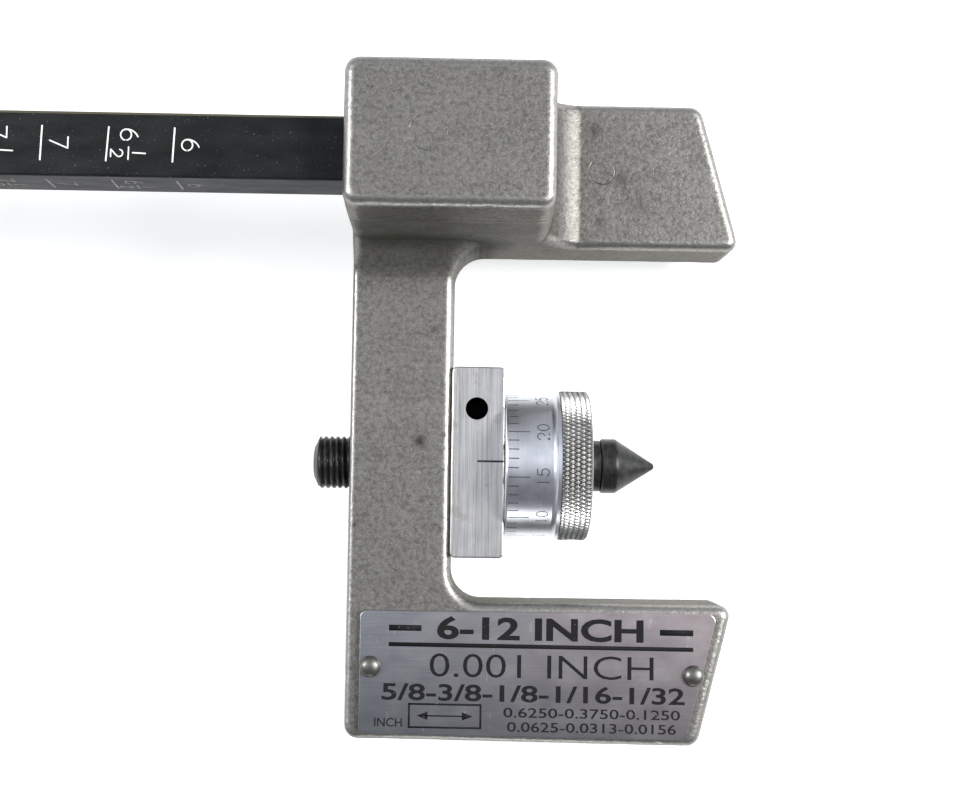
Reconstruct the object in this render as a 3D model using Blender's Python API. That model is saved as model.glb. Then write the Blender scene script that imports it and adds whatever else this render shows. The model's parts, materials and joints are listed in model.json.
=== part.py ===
"""Brake drum and rotor micrometer: a C-shaped frame casting on a square graduated bar, with a
screw spindle and cone point in the frame and a sliding jaw on the bar.

The design frame has +X from the jaw to the cone point, +Y from the spindle to the bar and +Z up
from the table the tool lies on. Y = 0 is the spindle's axis and X = 0 the frame's left edge. The
empty "assembly" then shifts everything so that the world origin is the middle of the base.
Lengths are in metres, written through MM.
"""

import math

import bmesh
import bpy
from mathutils import Matrix, Vector

MM = 0.001
INCH = 25.4 * MM
GAP = 0.3 * MM  # clearance between neighbouring pieces

# Driving dimensions of the frame casting
PLATE_BACK_Z = 8 * MM
PLATE_FACE_Z = 24 * MM
PLATE_EDGE = 1.8 * MM  # rounding of the casting's long edges
WEB_WIDTH = 21.4 * MM
ARM_TOP_Y = 77.0 * MM
OPENING_TOP_Y = 45.8 * MM
OPENING_BOTTOM_Y = -28.9 * MM
ARM_BOTTOM_Y = (-57.0 * MM, -58.0 * MM)  # below the web, at the arm's end
LOWEST_Y = ARM_BOTTOM_Y[1] + 0.032 * MM  # where the rounded corner at the arm's end bottoms out
UPPER_ARM_END_X = (73.5 * MM, 82.0 * MM)  # at the top edge, at the opening
LOWER_ARM_END_X = (80.5 * MM, 73.1 * MM)  # at the opening, at the bottom edge
OPENING_RADIUS = 6.5 * MM
CORNER_RADIUS = 3.0 * MM
NOSE_RADIUS = 2.2 * MM  # of the two corners beside the opening

# The block that holds the bar, which is drafted like any sand casting
BLOCK_WIDTH = 41.0 * MM
BLOCK_TOP_Z = 58 * MM
BLOCK_DRAFT_X = (0.4 * MM, 0.4 * MM)  # how far the two sides lean in over their height
BLOCK_DRAFT_Y = (0.8 * MM, 1.8 * MM)  # the same for the side by the opening and the outer side
BLOCK_RADIUS = 2.5 * MM
BLOCK_INSET = 0.3 * MM  # keeps the block's foot inside the plate's edges

# Bar
BAR_SIDE = INCH / 2
BAR_Y = 60.0 * MM
BAR_Z = 41.5 * MM
BAR_BURIED = 35 * MM
BAR_CORNER = 0.6 * MM
BAR_END_X = -230 * MM
FIRST_MARK_X = -32.85 * MM  # the jaw's index edge stands here when the tool measures 6 in
FIRST_MARK_INCHES = 6
LAST_MARK_INCHES = 12
REST_MARK_INCHES = 8
DIMPLE_RADIUS = 2.6 * MM
DIMPLE_DEPTH = 1.6 * MM

# Spindle, thimble and cone point, all on one axis
AXIS_Z = 16 * MM
SPINDLE_RADIUS = 7 / 32 * INCH
SPINDLE_START_X = -8.2 * MM
SPINDLE_CHAMFER = 1.2 * MM
SHANK_END_X = 53.2 * MM
SHANK_RADIUS = 5.5 * MM
CONE_TIP_X = 64.9 * MM
CONE_RADIUS = 5.85 * MM
CONE_TIP_RADIUS = 0.85 * MM
CONE_HALF_ANGLE = math.radians(32.5)
CONE_EDGE = 0.3 * MM  # chamfer where the cone point meets the shank
STEM_RADIUS = 2.5 * MM
STEM_LENGTH = 9 * MM
PIN_RADIUS = 0.8 * MM
PIN_X = 47.2 * MM
PIN_SIDE = STEM_RADIUS  # the pin passes the stem's edge, in a groove
PIN_RECESS = 1.2 * MM  # its ends lie this far under the shank's surface
SLEEVE_RADIUS = 14.4 * MM
SLEEVE_X = (32.5 * MM, 43.8 * MM)
HUB_RADIUS = 9.5 * MM
KNURL_RADIUS = AXIS_Z  # the knurl touches the table
KNURL_X = (44.1 * MM, 50.3 * MM)
KNURL_EDGE = 0.8 * MM
SLEEVE_EDGE = 0.3 * MM
SLEEVE_FLARE = 1.3 * MM  # where the sleeve widens to meet the knob
SLEEVE_SCREW_BACK = 5 * MM  # from the sleeve's wide end to its set screw

# Nut block on the web's inner face
NUT_X = (21.7 * MM, 32.2 * MM)
NUT_HEIGHT = 39.2 * MM
NUT_CORNERS = (0.8 * MM, 1.2 * MM, 1.8 * MM, 0.8 * MM)  # from the lower left, in order
NUT_EDGE = 0.4 * MM
NUT_Z = (4.6 * MM, 24.6 * MM)
NUT_HOLE_XY = (26.5 * MM, 11.5 * MM)
NUT_HOLE_RADIUS = 2.26 * MM
NUT_HOLE_DEPTH = 8 * MM
NUT_SCREW_Y = 13 * MM
NUT_SCREW_Z = 12.5 * MM
NUT_SCREW_RADIUS = 2 * MM
NUT_SCREW_HEAD_RADIUS = 3.3 * MM
NUT_SCREW_HEAD_LENGTH = 4 * MM
NUT_SCREW_HEAD_X = 0.7 * MM  # the heads start just inside the web's outer face
NUT_SCREW_HOLE_END = 1.5 * MM  # left of the block under the tapped holes
NUT_SCREW_END = 2.5 * MM
NUT_SCREW_SOCKET = (1.7 * MM, 2.2 * MM)  # radius across corners, depth

# Nameplate and its two drive rivets
LABEL_X = (3.0 * MM, 77.4 * MM)
LABEL_TOP_Y = -30.6 * MM
LABEL_BOTTOM_Y = (-55.6 * MM, -56.4 * MM)  # at the left, at the right
LABEL_SLANT = 6.5 * MM  # how far the right end leans back towards the bottom
LABEL_THICKNESS = 0.8 * MM
LABEL_CORNERS = (1.2 * MM, 1.6 * MM, 1.4 * MM, 1.2 * MM)  # from the lower left, in order
RIVETS = (("left", 5.2 * MM, -42.0 * MM), ("right", 72.0 * MM, -43.2 * MM))
RIVET_RADIUS = 2.2 * MM
RIVET_STEM_RADIUS = 1.2 * MM
RIVET_HEIGHT = 1.2 * MM
RIVET_DEPTH = 5 * MM

# Sliding jaw
JAW_WIDTH = BLOCK_WIDTH
JAW_LEG_WIDTH = 22 * MM
JAW_FOOT_Y = -14 * MM
JAW_LEG_Z = 24 * MM
CONTACT_PAST_FOOT = 8 * MM  # the flat anvil end stands this far out on the inner side
CONTACT_EDGE = 0.8 * MM
LOCK_RADIUS = 3 * MM
LOCK_PLUNGER_RADIUS = 2.5 * MM
LOCK_PLUNGER_LENGTH = 5 * MM
LOCK_TIP_RADIUS = 1 * MM
LOCK_TIP_LENGTH = 1.5 * MM
LOCK_TRAVEL = 1.5 * MM
LOCK_HEAD_RADIUS = 7 * MM
LOCK_HEAD_LENGTH = 9 * MM
LOCK_HEAD_EDGE = 0.7 * MM
LOCK_SHOULDER = 2.4 * MM  # bare stretch between the jaw's side and the knurled head

# Set screws
SET_SCREW_RADIUS = 3 * MM
SMALL_SCREW_RADIUS = 1.5 * MM
SOCKET_SHARE = 0.5  # hexagon socket across corners, as a share of the diameter
SOCKET_DEPTH = 2.5 * MM
SET_SCREW_INSET = 0.5 * MM  # the screws' outer ends lie just under the casting's skin
BAR_SET_SCREW_X = (11 * MM, 26 * MM)

# Stop at the bar's free end
STOP_WASHER_RADIUS = 8.6 * MM
STOP_WASHER_LENGTH = 1.6 * MM
STOP_HEAD_RADIUS = 4.6 * MM
STOP_HEAD_LENGTH = 2.8 * MM
STOP_SHANK_RADIUS = 2.5 * MM
STOP_SHANK_LENGTH = 14 * MM
STOP_HEAD_EDGE = 0.6 * MM
STOP_SOCKET = (1.9 * MM, 1.8 * MM)  # radius across corners, depth

# Worked out from the above
JAW_RIGHT_X = FIRST_MARK_X - (REST_MARK_INCHES - FIRST_MARK_INCHES) * INCH
JAW_LEFT_X = JAW_RIGHT_X - JAW_WIDTH
JAW_TIP_X = CONE_TIP_X - REST_MARK_INCHES * INCH
BAR_BACK_Y = BAR_Y + BAR_SIDE / 2
LOCK_X = (JAW_LEFT_X + JAW_RIGHT_X) / 2
LOCK_INNER_Y = BAR_BACK_Y + GAP + LOCK_TIP_LENGTH + LOCK_PLUNGER_LENGTH
LOCK_HEAD_Y = ARM_TOP_Y + LOCK_SHOULDER
UPPER_ARM_SLOPE = (UPPER_ARM_END_X[1] - UPPER_ARM_END_X[0]) / (ARM_TOP_Y - OPENING_TOP_Y)
NOSE_HALF_ANGLE = (math.pi / 2 - math.atan(UPPER_ARM_SLOPE)) / 2
NOSE_X = UPPER_ARM_END_X[1] + NOSE_RADIUS * (1 - 1 / math.tan(NOSE_HALF_ANGLE))
OBJECT_X = (BAR_END_X - STOP_WASHER_LENGTH - STOP_HEAD_LENGTH, NOSE_X)
OBJECT_Y = (LOWEST_Y, LOCK_HEAD_Y + LOCK_HEAD_LENGTH)
SEGMENTS = 40


def clear_scene():
    for obj in list(bpy.data.objects):
        bpy.data.objects.remove(obj)


def make_material(name, colour, roughness, metallic):
    material = bpy.data.materials.new(name)
    material.use_nodes = True
    shader = material.node_tree.nodes["Principled BSDF"]
    shader.inputs["Base Color"].default_value = (*colour, 1)
    shader.inputs["Roughness"].default_value = roughness
    shader.inputs["Metallic"].default_value = metallic
    return material


def make_empty(name, location, parent=None):
    empty = bpy.data.objects.new(name, None)
    bpy.context.collection.objects.link(empty)
    empty.parent = parent
    empty.location = location
    return empty


def make_object(name, bm, parent, material=None):
    """The mesh is built in the design frame, and is moved here into its parent's."""
    bmesh.ops.recalc_face_normals(bm, faces=bm.faces)
    mesh = bpy.data.meshes.new(name)
    origin = Vector()
    holder = parent
    while holder is not None and holder.parent is not None:
        origin += holder.location
        holder = holder.parent
    bm.transform(Matrix.Translation(-origin))
    bm.to_mesh(mesh)
    bm.free()
    mesh.shade_smooth()
    mesh.set_sharp_from_angle(angle=math.radians(35))
    obj = bpy.data.objects.new(name, mesh)
    bpy.context.collection.objects.link(obj)
    obj.parent = parent
    if material:
        mesh.materials.append(material)
    return obj


def make_cutter(name, bm, parent):
    cutter = make_object(name, bm, parent)
    cutter.hide_render = True
    cutter.display_type = "WIRE"
    return cutter


def boolean(obj, other, operation="DIFFERENCE"):
    modifier = obj.modifiers.new(other.name, "BOOLEAN")
    modifier.object = other
    modifier.operation = operation
    modifier.solver = "EXACT"


def rounded_outline(corners, steps=5):
    """Corners are (x, y, radius). Each becomes an arc tangent to its two sides."""
    points = []
    for index, (x, y, radius) in enumerate(corners):
        corner = Vector((x, y))
        before = (Vector(corners[index - 1][:2]) - corner).normalized()
        after = (Vector(corners[(index + 1) % len(corners)][:2]) - corner).normalized()
        half = before.angle(after) / 2
        centre = corner + (before + after).normalized() * radius / math.sin(half)
        first = corner + before * radius / math.tan(half) - centre
        last = corner + after * radius / math.tan(half) - centre
        for step in range(steps + 1):
            direction = first.slerp(last, step / steps).normalized()
            points.append(centre + direction * radius)
    return points


def prism(outline, low_z, high_z, high_scale=None, centre=None):
    """The outline extruded upwards. high_scale shrinks the upper end about the centre."""
    bm = bmesh.new()
    low = [bm.verts.new((p[0], p[1], low_z)) for p in outline]
    high = []
    for p in outline:
        x, y = p[0], p[1]
        if high_scale:
            x = centre[0] + (x - centre[0]) * high_scale[0]
            y = centre[1] + (y - centre[1]) * high_scale[1]
        high.append(bm.verts.new((x, y, high_z)))
    bm.faces.new(reversed(low))
    bm.faces.new(high)
    for index in range(len(outline)):
        after = (index + 1) % len(outline)
        bm.faces.new((low[index], low[after], high[after], high[index]))
    return bm


def round_ends(bm, width, low_z, high_z, segments=2):
    """Rounds the rims of a prism at its two end heights, or at the one that matters."""
    rims = []
    for edge in bm.edges:
        heights = [vert.co.z for vert in edge.verts]
        for level in (low_z, high_z):
            if level is not None and all(abs(z - level) < GAP / 10 for z in heights):
                rims.append(edge)
    bmesh.ops.bevel(
        bm, geom=rims, offset=width, segments=segments, profile=0.5, affect="EDGES"
    )
    return bm


def box(low, high):
    bm = bmesh.new()
    size = Vector(high) - Vector(low)
    middle = (Vector(high) + Vector(low)) / 2
    bmesh.ops.create_cube(
        bm, size=1, matrix=Matrix.Translation(middle) @ Matrix.Diagonal((*size, 1))
    )
    return bm


AXES = {
    "X": Matrix(((0, 0, 1), (1, 0, 0), (0, 1, 0))),
    "Y": Matrix(((0, 1, 0), (0, 0, 1), (1, 0, 0))),
    "-Y": Matrix(((0, -1, 0), (0, 0, -1), (1, 0, 0))),
    "Z": Matrix.Identity(3),
}


def turned(profile, origin, axis="X", segments=SEGMENTS):
    """A solid of revolution. The profile is (distance along the axis, radius), in order."""
    bm = bmesh.new()
    turn = AXES[axis]
    rings = []
    for along, radius in profile:
        if radius == 0:
            rings.append([bm.verts.new(turn @ Vector((0, 0, along)))])
            continue
        ring = []
        for step in range(segments):
            angle = math.tau * step / segments
            point = Vector((radius * math.cos(angle), radius * math.sin(angle), along))
            ring.append(bm.verts.new(turn @ point))
        rings.append(ring)
    closed = profile[0][1] != 0
    pairs = list(zip(rings, rings[1:] + rings[:1] if closed else rings[1:]))
    for first, second in pairs:
        for step in range(segments):
            after = (step + 1) % segments
            corners = [first[step % len(first)], first[after % len(first)]]
            corners += [second[after % len(second)], second[step % len(second)]]
            bm.faces.new(list(dict.fromkeys(corners)))
    bmesh.ops.translate(bm, verts=bm.verts, vec=origin)
    return bm


def rod(start, end, radius, origin, axis="X", segments=SEGMENTS, chamfer=0):
    profile = [(start, 0), (start, radius - chamfer), (start + chamfer, radius)]
    profile += [(end - chamfer, radius), (end, radius - chamfer), (end, 0)]
    return turned(list(dict.fromkeys(profile)), origin, axis, segments)


def tube(start, end, inner, outer, origin, axis="X", segments=SEGMENTS):
    profile = [(start, inner), (start, outer), (end, outer), (end, inner)]
    return turned(profile, origin, axis, segments)


def set_screw(name, start, end, radius, origin, axis, parent, material):
    """A headless screw with a hexagon socket in its outer end, at "end"."""
    screw = make_object(name, rod(start, end, radius, origin, axis, 24), parent, material)
    depth = min(SOCKET_DEPTH, (end - start) / 2)
    socket = rod(end - depth, end + GAP, radius * SOCKET_SHARE, origin, axis, 6)
    boolean(screw, make_cutter(name + "_socket", socket, parent))
    return screw


def drafted_block(left_x, right_x, low_z):
    """A block whose four sides lean in upwards, each by its own draft."""
    low_x, high_x = left_x + BLOCK_INSET, right_x - BLOCK_INSET
    low_y, high_y = OPENING_TOP_Y + BLOCK_INSET, ARM_TOP_Y - BLOCK_INSET
    corners = [(low_x, low_y), (high_x, low_y), (high_x, high_y), (low_x, high_y)]
    outline = rounded_outline([(*corner, BLOCK_RADIUS) for corner in corners], steps=3)
    scale, centre = [], []
    for low, high, draft in ((low_x, high_x, BLOCK_DRAFT_X), (low_y, high_y, BLOCK_DRAFT_Y)):
        scale.append(1 - sum(draft) / (high - low))
        centre.append(low + (high - low) * draft[0] / sum(draft))
    bm = prism(outline, low_z, BLOCK_TOP_Z, scale, centre)
    return round_ends(bm, PLATE_EDGE, None, BLOCK_TOP_Z)


def make_frame_casting(parent, material):
    outline = rounded_outline(
        [
            (0, ARM_BOTTOM_Y[0], CORNER_RADIUS),
            (LOWER_ARM_END_X[1], ARM_BOTTOM_Y[1], CORNER_RADIUS),
            (LOWER_ARM_END_X[0], OPENING_BOTTOM_Y, NOSE_RADIUS),
            (WEB_WIDTH, OPENING_BOTTOM_Y, OPENING_RADIUS),
            (WEB_WIDTH, OPENING_TOP_Y, OPENING_RADIUS),
            (UPPER_ARM_END_X[1], OPENING_TOP_Y, NOSE_RADIUS),
            (UPPER_ARM_END_X[0], ARM_TOP_Y, CORNER_RADIUS),
            (0, ARM_TOP_Y, CORNER_RADIUS),
        ]
    )
    plate = prism(outline, PLATE_BACK_Z, PLATE_FACE_Z)
    round_ends(plate, PLATE_EDGE, PLATE_BACK_Z, PLATE_FACE_Z)
    casting = make_object("frame_casting", plate, parent, material)
    block = drafted_block(0, BLOCK_WIDTH, PLATE_BACK_Z + 2 * PLATE_EDGE)
    boolean(casting, make_cutter("frame_block_shape", block, parent), "UNION")

    half = BAR_SIDE / 2 + GAP
    pocket = box(
        (-1 * MM, BAR_Y - half, BAR_Z - half),
        (BAR_BURIED + GAP, BAR_Y + half, BAR_Z + half),
    )
    boolean(casting, make_cutter("bar_pocket", pocket, parent))
    for number, x in enumerate(BAR_SET_SCREW_X, 1):
        hole = rod(
            BAR_Y, ARM_TOP_Y + MM, SET_SCREW_RADIUS + GAP, (x, 0, BAR_Z), "Y", 24
        )
        boolean(casting, make_cutter(f"bar_set_screw_hole_{number}", hole, parent))
    bore = rod(-MM, WEB_WIDTH + MM, SPINDLE_RADIUS + GAP, (0, 0, AXIS_Z))
    boolean(casting, make_cutter("spindle_bore", bore, parent))
    for side, y in (("upper", NUT_SCREW_Y), ("lower", -NUT_SCREW_Y)):
        shank, head = NUT_SCREW_RADIUS + GAP, NUT_SCREW_HEAD_RADIUS + GAP
        floor_x = NUT_SCREW_HEAD_X + NUT_SCREW_HEAD_LENGTH + GAP
        profile = [(-MM, 0), (-MM, head), (floor_x, head), (floor_x, shank)]
        profile += [(WEB_WIDTH + MM, shank), (WEB_WIDTH + MM, 0)]
        hole = turned(profile, (0, y, NUT_SCREW_Z), "X", 24)
        boolean(casting, make_cutter(f"nut_screw_hole_{side}", hole, parent))
    for side, x, y in RIVETS:
        top = PLATE_FACE_Z + MM
        hole = rod(top - RIVET_DEPTH - 2 * MM, top, RIVET_STEM_RADIUS + GAP, (x, y, 0), "Z", 16)
        boolean(casting, make_cutter(f"rivet_hole_{side}", hole, parent))
    return casting


def make_bar(parent, material):
    half = BAR_SIDE / 2
    corners = [
        (BAR_Y - half, BAR_Z - half, BAR_CORNER),
        (BAR_Y + half, BAR_Z - half, BAR_CORNER),
        (BAR_Y + half, BAR_Z + half, BAR_CORNER),
        (BAR_Y - half, BAR_Z + half, BAR_CORNER),
    ]
    bm = prism(rounded_outline(corners, steps=1), BAR_END_X, BAR_BURIED)
    bm.transform(AXES["X"].to_4x4())
    bar = make_object("bar", bm, parent, material)
    holes = None
    for step in range(2 * (LAST_MARK_INCHES - FIRST_MARK_INCHES) + 1):
        x = FIRST_MARK_X - step * INCH / 2 - JAW_WIDTH / 2
        profile = [(-DIMPLE_DEPTH, 0), (-DIMPLE_DEPTH, DIMPLE_RADIUS - DIMPLE_DEPTH)]
        profile += [(GAP, DIMPLE_RADIUS + GAP), (GAP, 0)]
        dimple = turned(profile, (x, BAR_BACK_Y, BAR_Z), "Y", 12)
        if holes is None:
            holes = dimple
            continue
        mesh = bpy.data.meshes.new("dimple")
        dimple.to_mesh(mesh)
        dimple.free()
        holes.from_mesh(mesh)
        bpy.data.meshes.remove(mesh)
    boolean(bar, make_cutter("bar_dimples", holes, parent))
    tapped = rod(
        BAR_END_X - MM,
        BAR_END_X + STOP_SHANK_LENGTH + 2 * MM,
        STOP_SHANK_RADIUS + GAP,
        (0, BAR_Y, BAR_Z),
        "X",
        24,
    )
    boolean(bar, make_cutter("bar_end_hole", tapped, parent))
    return bar


def make_bar_stop(parent, material):
    origin = (0, BAR_Y, BAR_Z)
    start = BAR_END_X - STOP_WASHER_LENGTH
    washer = tube(
        start, BAR_END_X - GAP, STOP_SHANK_RADIUS + GAP, STOP_WASHER_RADIUS, origin
    )
    make_object("bar_stop_washer", washer, parent, material)
    head = start - STOP_HEAD_LENGTH
    profile = [(head, 0), (head, STOP_HEAD_RADIUS - STOP_HEAD_EDGE)]
    profile += [(head + STOP_HEAD_EDGE, STOP_HEAD_RADIUS)]
    profile += [(start - GAP, STOP_HEAD_RADIUS), (start - GAP, STOP_SHANK_RADIUS)]
    end = BAR_END_X + STOP_SHANK_LENGTH
    profile += [(end, STOP_SHANK_RADIUS), (end, 0)]
    screw = make_object("bar_stop_screw", turned(profile, origin, "X", 32), parent, material)
    radius, depth = STOP_SOCKET
    socket = rod(head - GAP, head + depth, radius, origin, "X", 6)
    boolean(screw, make_cutter("bar_stop_socket", socket, parent))


def make_bar_set_screws(parent, material):
    side_y = ARM_TOP_Y - BLOCK_DRAFT_Y[1] - SET_SCREW_INSET
    for number, x in enumerate(BAR_SET_SCREW_X, 1):
        set_screw(
            f"bar_set_screw_{number}",
            BAR_BACK_Y + GAP,
            side_y,
            SET_SCREW_RADIUS,
            (x, 0, BAR_Z),
            "Y",
            parent,
            material,
        )


def make_nut_block(parent, material):
    half = NUT_HEIGHT / 2
    places = [(NUT_X[0], -half), (NUT_X[1], -half), (NUT_X[1], half), (NUT_X[0], half)]
    corners = [(*place, radius) for place, radius in zip(places, NUT_CORNERS)]
    low, high = NUT_Z
    bm = prism(rounded_outline(corners, steps=3), low, high)
    nut = make_object("nut_block", round_ends(bm, NUT_EDGE, low, high, 1), parent, material)
    bore = rod(NUT_X[0] - MM, NUT_X[1] + MM, SPINDLE_RADIUS + GAP, (0, 0, AXIS_Z))
    boolean(nut, make_cutter("nut_thread_bore", bore, parent))
    hole = rod(high - NUT_HOLE_DEPTH, high + MM, NUT_HOLE_RADIUS, (*NUT_HOLE_XY, 0), "Z", 32)
    boolean(nut, make_cutter("nut_block_hole", hole, parent))
    for side, y in (("upper", NUT_SCREW_Y), ("lower", -NUT_SCREW_Y)):
        tapped = rod(
            NUT_X[0] - MM,
            NUT_X[1] - NUT_SCREW_HOLE_END,
            NUT_SCREW_RADIUS + GAP,
            (0, y, NUT_SCREW_Z),
            "X",
            24,
        )
        boolean(nut, make_cutter(f"nut_block_tapping_{side}", tapped, parent))
    return nut


def make_nut_block_screws(parent, material):
    for side, y in (("upper", NUT_SCREW_Y), ("lower", -NUT_SCREW_Y)):
        origin = (0, y, NUT_SCREW_Z)
        start, under = NUT_SCREW_HEAD_X, NUT_SCREW_HEAD_X + NUT_SCREW_HEAD_LENGTH
        end = NUT_X[1] - NUT_SCREW_END
        profile = [(start, 0), (start, NUT_SCREW_HEAD_RADIUS), (under, NUT_SCREW_HEAD_RADIUS)]
        profile += [(under, NUT_SCREW_RADIUS), (end, NUT_SCREW_RADIUS), (end, 0)]
        name = f"nut_block_screw_{side}"
        screw = make_object(name, turned(profile, origin, "X", 24), parent, material)
        radius, depth = NUT_SCREW_SOCKET
        socket = rod(start - GAP, start + depth, radius, origin, "X", 6)
        boolean(screw, make_cutter(name + "_socket", socket, parent))


def make_nameplate(parent, material):
    low = PLATE_FACE_Z + GAP
    places = [
        (LABEL_X[0], LABEL_BOTTOM_Y[0]),
        (LABEL_X[1] - LABEL_SLANT, LABEL_BOTTOM_Y[1]),
        (LABEL_X[1], LABEL_TOP_Y),
        (LABEL_X[0], LABEL_TOP_Y),
    ]
    corners = [(*place, radius) for place, radius in zip(places, LABEL_CORNERS)]
    bm = prism(rounded_outline(corners, steps=4), low, low + LABEL_THICKNESS)
    label = make_object("nameplate", bm, parent, material)
    for side, x, y in RIVETS:
        hole = rod(low - MM, low + 2 * MM, RIVET_STEM_RADIUS + GAP, (x, y, 0), "Z", 16)
        boolean(label, make_cutter(f"nameplate_hole_{side}", hole, parent))


def make_rivets(parent, material):
    top = PLATE_FACE_Z + GAP + LABEL_THICKNESS + GAP
    for side, x, y in RIVETS:
        profile = [(top - RIVET_DEPTH, 0), (top - RIVET_DEPTH, RIVET_STEM_RADIUS)]
        profile += [(top, RIVET_STEM_RADIUS)]
        for step in range(5):
            angle = math.pi / 2 * step / 4
            height = top + RIVET_HEIGHT * math.sin(angle)
            profile.append((height, RIVET_RADIUS * math.cos(angle) if step < 4 else 0))
        make_object(
            f"drive_rivet_{side}", turned(profile, (x, y, 0), "Z", 20), parent, material
        )


def make_spindle(parent, material):
    bottom = SHANK_END_X - STEM_LENGTH - GAP
    profile = [
        (SPINDLE_START_X, 0),
        (SPINDLE_START_X, SPINDLE_RADIUS - 2 * SPINDLE_CHAMFER),
        (SPINDLE_START_X + SPINDLE_CHAMFER, SPINDLE_RADIUS),
        (KNURL_X[1], SPINDLE_RADIUS),
        (KNURL_X[1], SHANK_RADIUS),
        (SHANK_END_X, SHANK_RADIUS),
        (SHANK_END_X, STEM_RADIUS + GAP),
        (bottom, STEM_RADIUS + GAP),
        (bottom, 0),
    ]
    spindle = make_object("spindle", turned(profile, (0, 0, AXIS_Z)), parent, material)
    boolean(spindle, make_cutter("retaining_pin_hole", pin_shape(2 * GAP), parent))
    return spindle


def pin_shape(grow=0):
    """The pin lies along Z beside the axis. Grown, it is its own hole."""
    half = SPINDLE_RADIUS - PIN_RECESS + 2 * grow
    origin = (PIN_X, PIN_SIDE, AXIS_Z)
    return rod(-half, half, PIN_RADIUS + grow / 2, origin, "Z", 12)


def make_retaining_pin(parent, material):
    make_object("point_retaining_pin", pin_shape(), parent, material)


def make_cone_point(parent, material):
    start = SHANK_END_X + GAP
    stem_start = SHANK_END_X - STEM_LENGTH + GAP
    groove = STEM_RADIUS - PIN_RADIUS - GAP
    half_groove = PIN_RADIUS + GAP
    profile = [
        (stem_start, 0),
        (stem_start, STEM_RADIUS),
        (PIN_X - half_groove, STEM_RADIUS),
        (PIN_X - half_groove, groove),
        (PIN_X + half_groove, groove),
        (PIN_X + half_groove, STEM_RADIUS),
        (start, STEM_RADIUS),
        (start, CONE_RADIUS - CONE_EDGE),
        (start + CONE_EDGE, CONE_RADIUS),
    ]
    profile += cone_end(CONE_TIP_X, 1, CONE_RADIUS)
    make_object("cone_point", turned(profile, (0, 0, AXIS_Z)), parent, material)


def cone_end(tip_x, way, radius):
    """The last points of a 60 degree cone whose rounded tip is at tip_x, facing along way."""
    centre = tip_x - way * CONE_TIP_RADIUS
    apex = centre + way * CONE_TIP_RADIUS / math.sin(CONE_HALF_ANGLE)
    points = [(apex - way * radius / math.tan(CONE_HALF_ANGLE), radius)]
    for degrees in (60, 40, 20):
        angle = math.radians(degrees)
        along = centre + way * CONE_TIP_RADIUS * math.cos(angle)
        points.append((along, CONE_TIP_RADIUS * math.sin(angle)))
    points.append((tip_x, 0))
    return points


def make_thimble(parent, materials):
    origin = (0, 0, AXIS_Z)
    inner, start = SPINDLE_RADIUS + GAP, SLEEVE_X[0] + GAP
    edge = KNURL_EDGE
    profile = [
        (start, inner),
        (start, HUB_RADIUS),
        (KNURL_X[0], HUB_RADIUS),
        (KNURL_X[0], KNURL_RADIUS - edge),
        (KNURL_X[0] + edge / 2, KNURL_RADIUS),
        (KNURL_X[1] - edge, KNURL_RADIUS),
        (KNURL_X[1], KNURL_RADIUS - edge),
        (KNURL_X[1], inner),
    ]
    knob = make_object("thimble_knob", turned(profile, origin, "X", 64), parent, materials["knurl"])
    profile = [
        (SLEEVE_X[0], HUB_RADIUS + GAP),
        (SLEEVE_X[0], SLEEVE_RADIUS - SLEEVE_EDGE),
        (SLEEVE_X[0] + SLEEVE_EDGE, SLEEVE_RADIUS),
        (SLEEVE_X[1] - SLEEVE_FLARE, SLEEVE_RADIUS),
        (SLEEVE_X[1], KNURL_RADIUS - edge),
        (SLEEVE_X[1], HUB_RADIUS + GAP),
    ]
    sleeve = make_object(
        "graduated_sleeve", turned(profile, origin, "X", 64), parent, materials["sleeve"]
    )
    knob_x = (KNURL_X[0] + KNURL_X[1]) / 2
    screws = (
        ("thimble_set_screw", knob, knob_x, SPINDLE_RADIUS + GAP, KNURL_RADIUS - MM),
        ("sleeve_set_screw", sleeve, SLEEVE_X[1] - SLEEVE_SCREW_BACK, HUB_RADIUS + GAP, SLEEVE_RADIUS - MM),
    )
    for name, holder, x, low, high in screws:
        place = (x, 0, AXIS_Z)
        hole = rod(low - MM, KNURL_RADIUS + MM, SMALL_SCREW_RADIUS + GAP, place, "-Y", 16)
        boolean(holder, make_cutter(name + "_hole", hole, parent))
        set_screw(name, low, high, SMALL_SCREW_RADIUS, place, "-Y", parent, materials["screw"])


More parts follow.
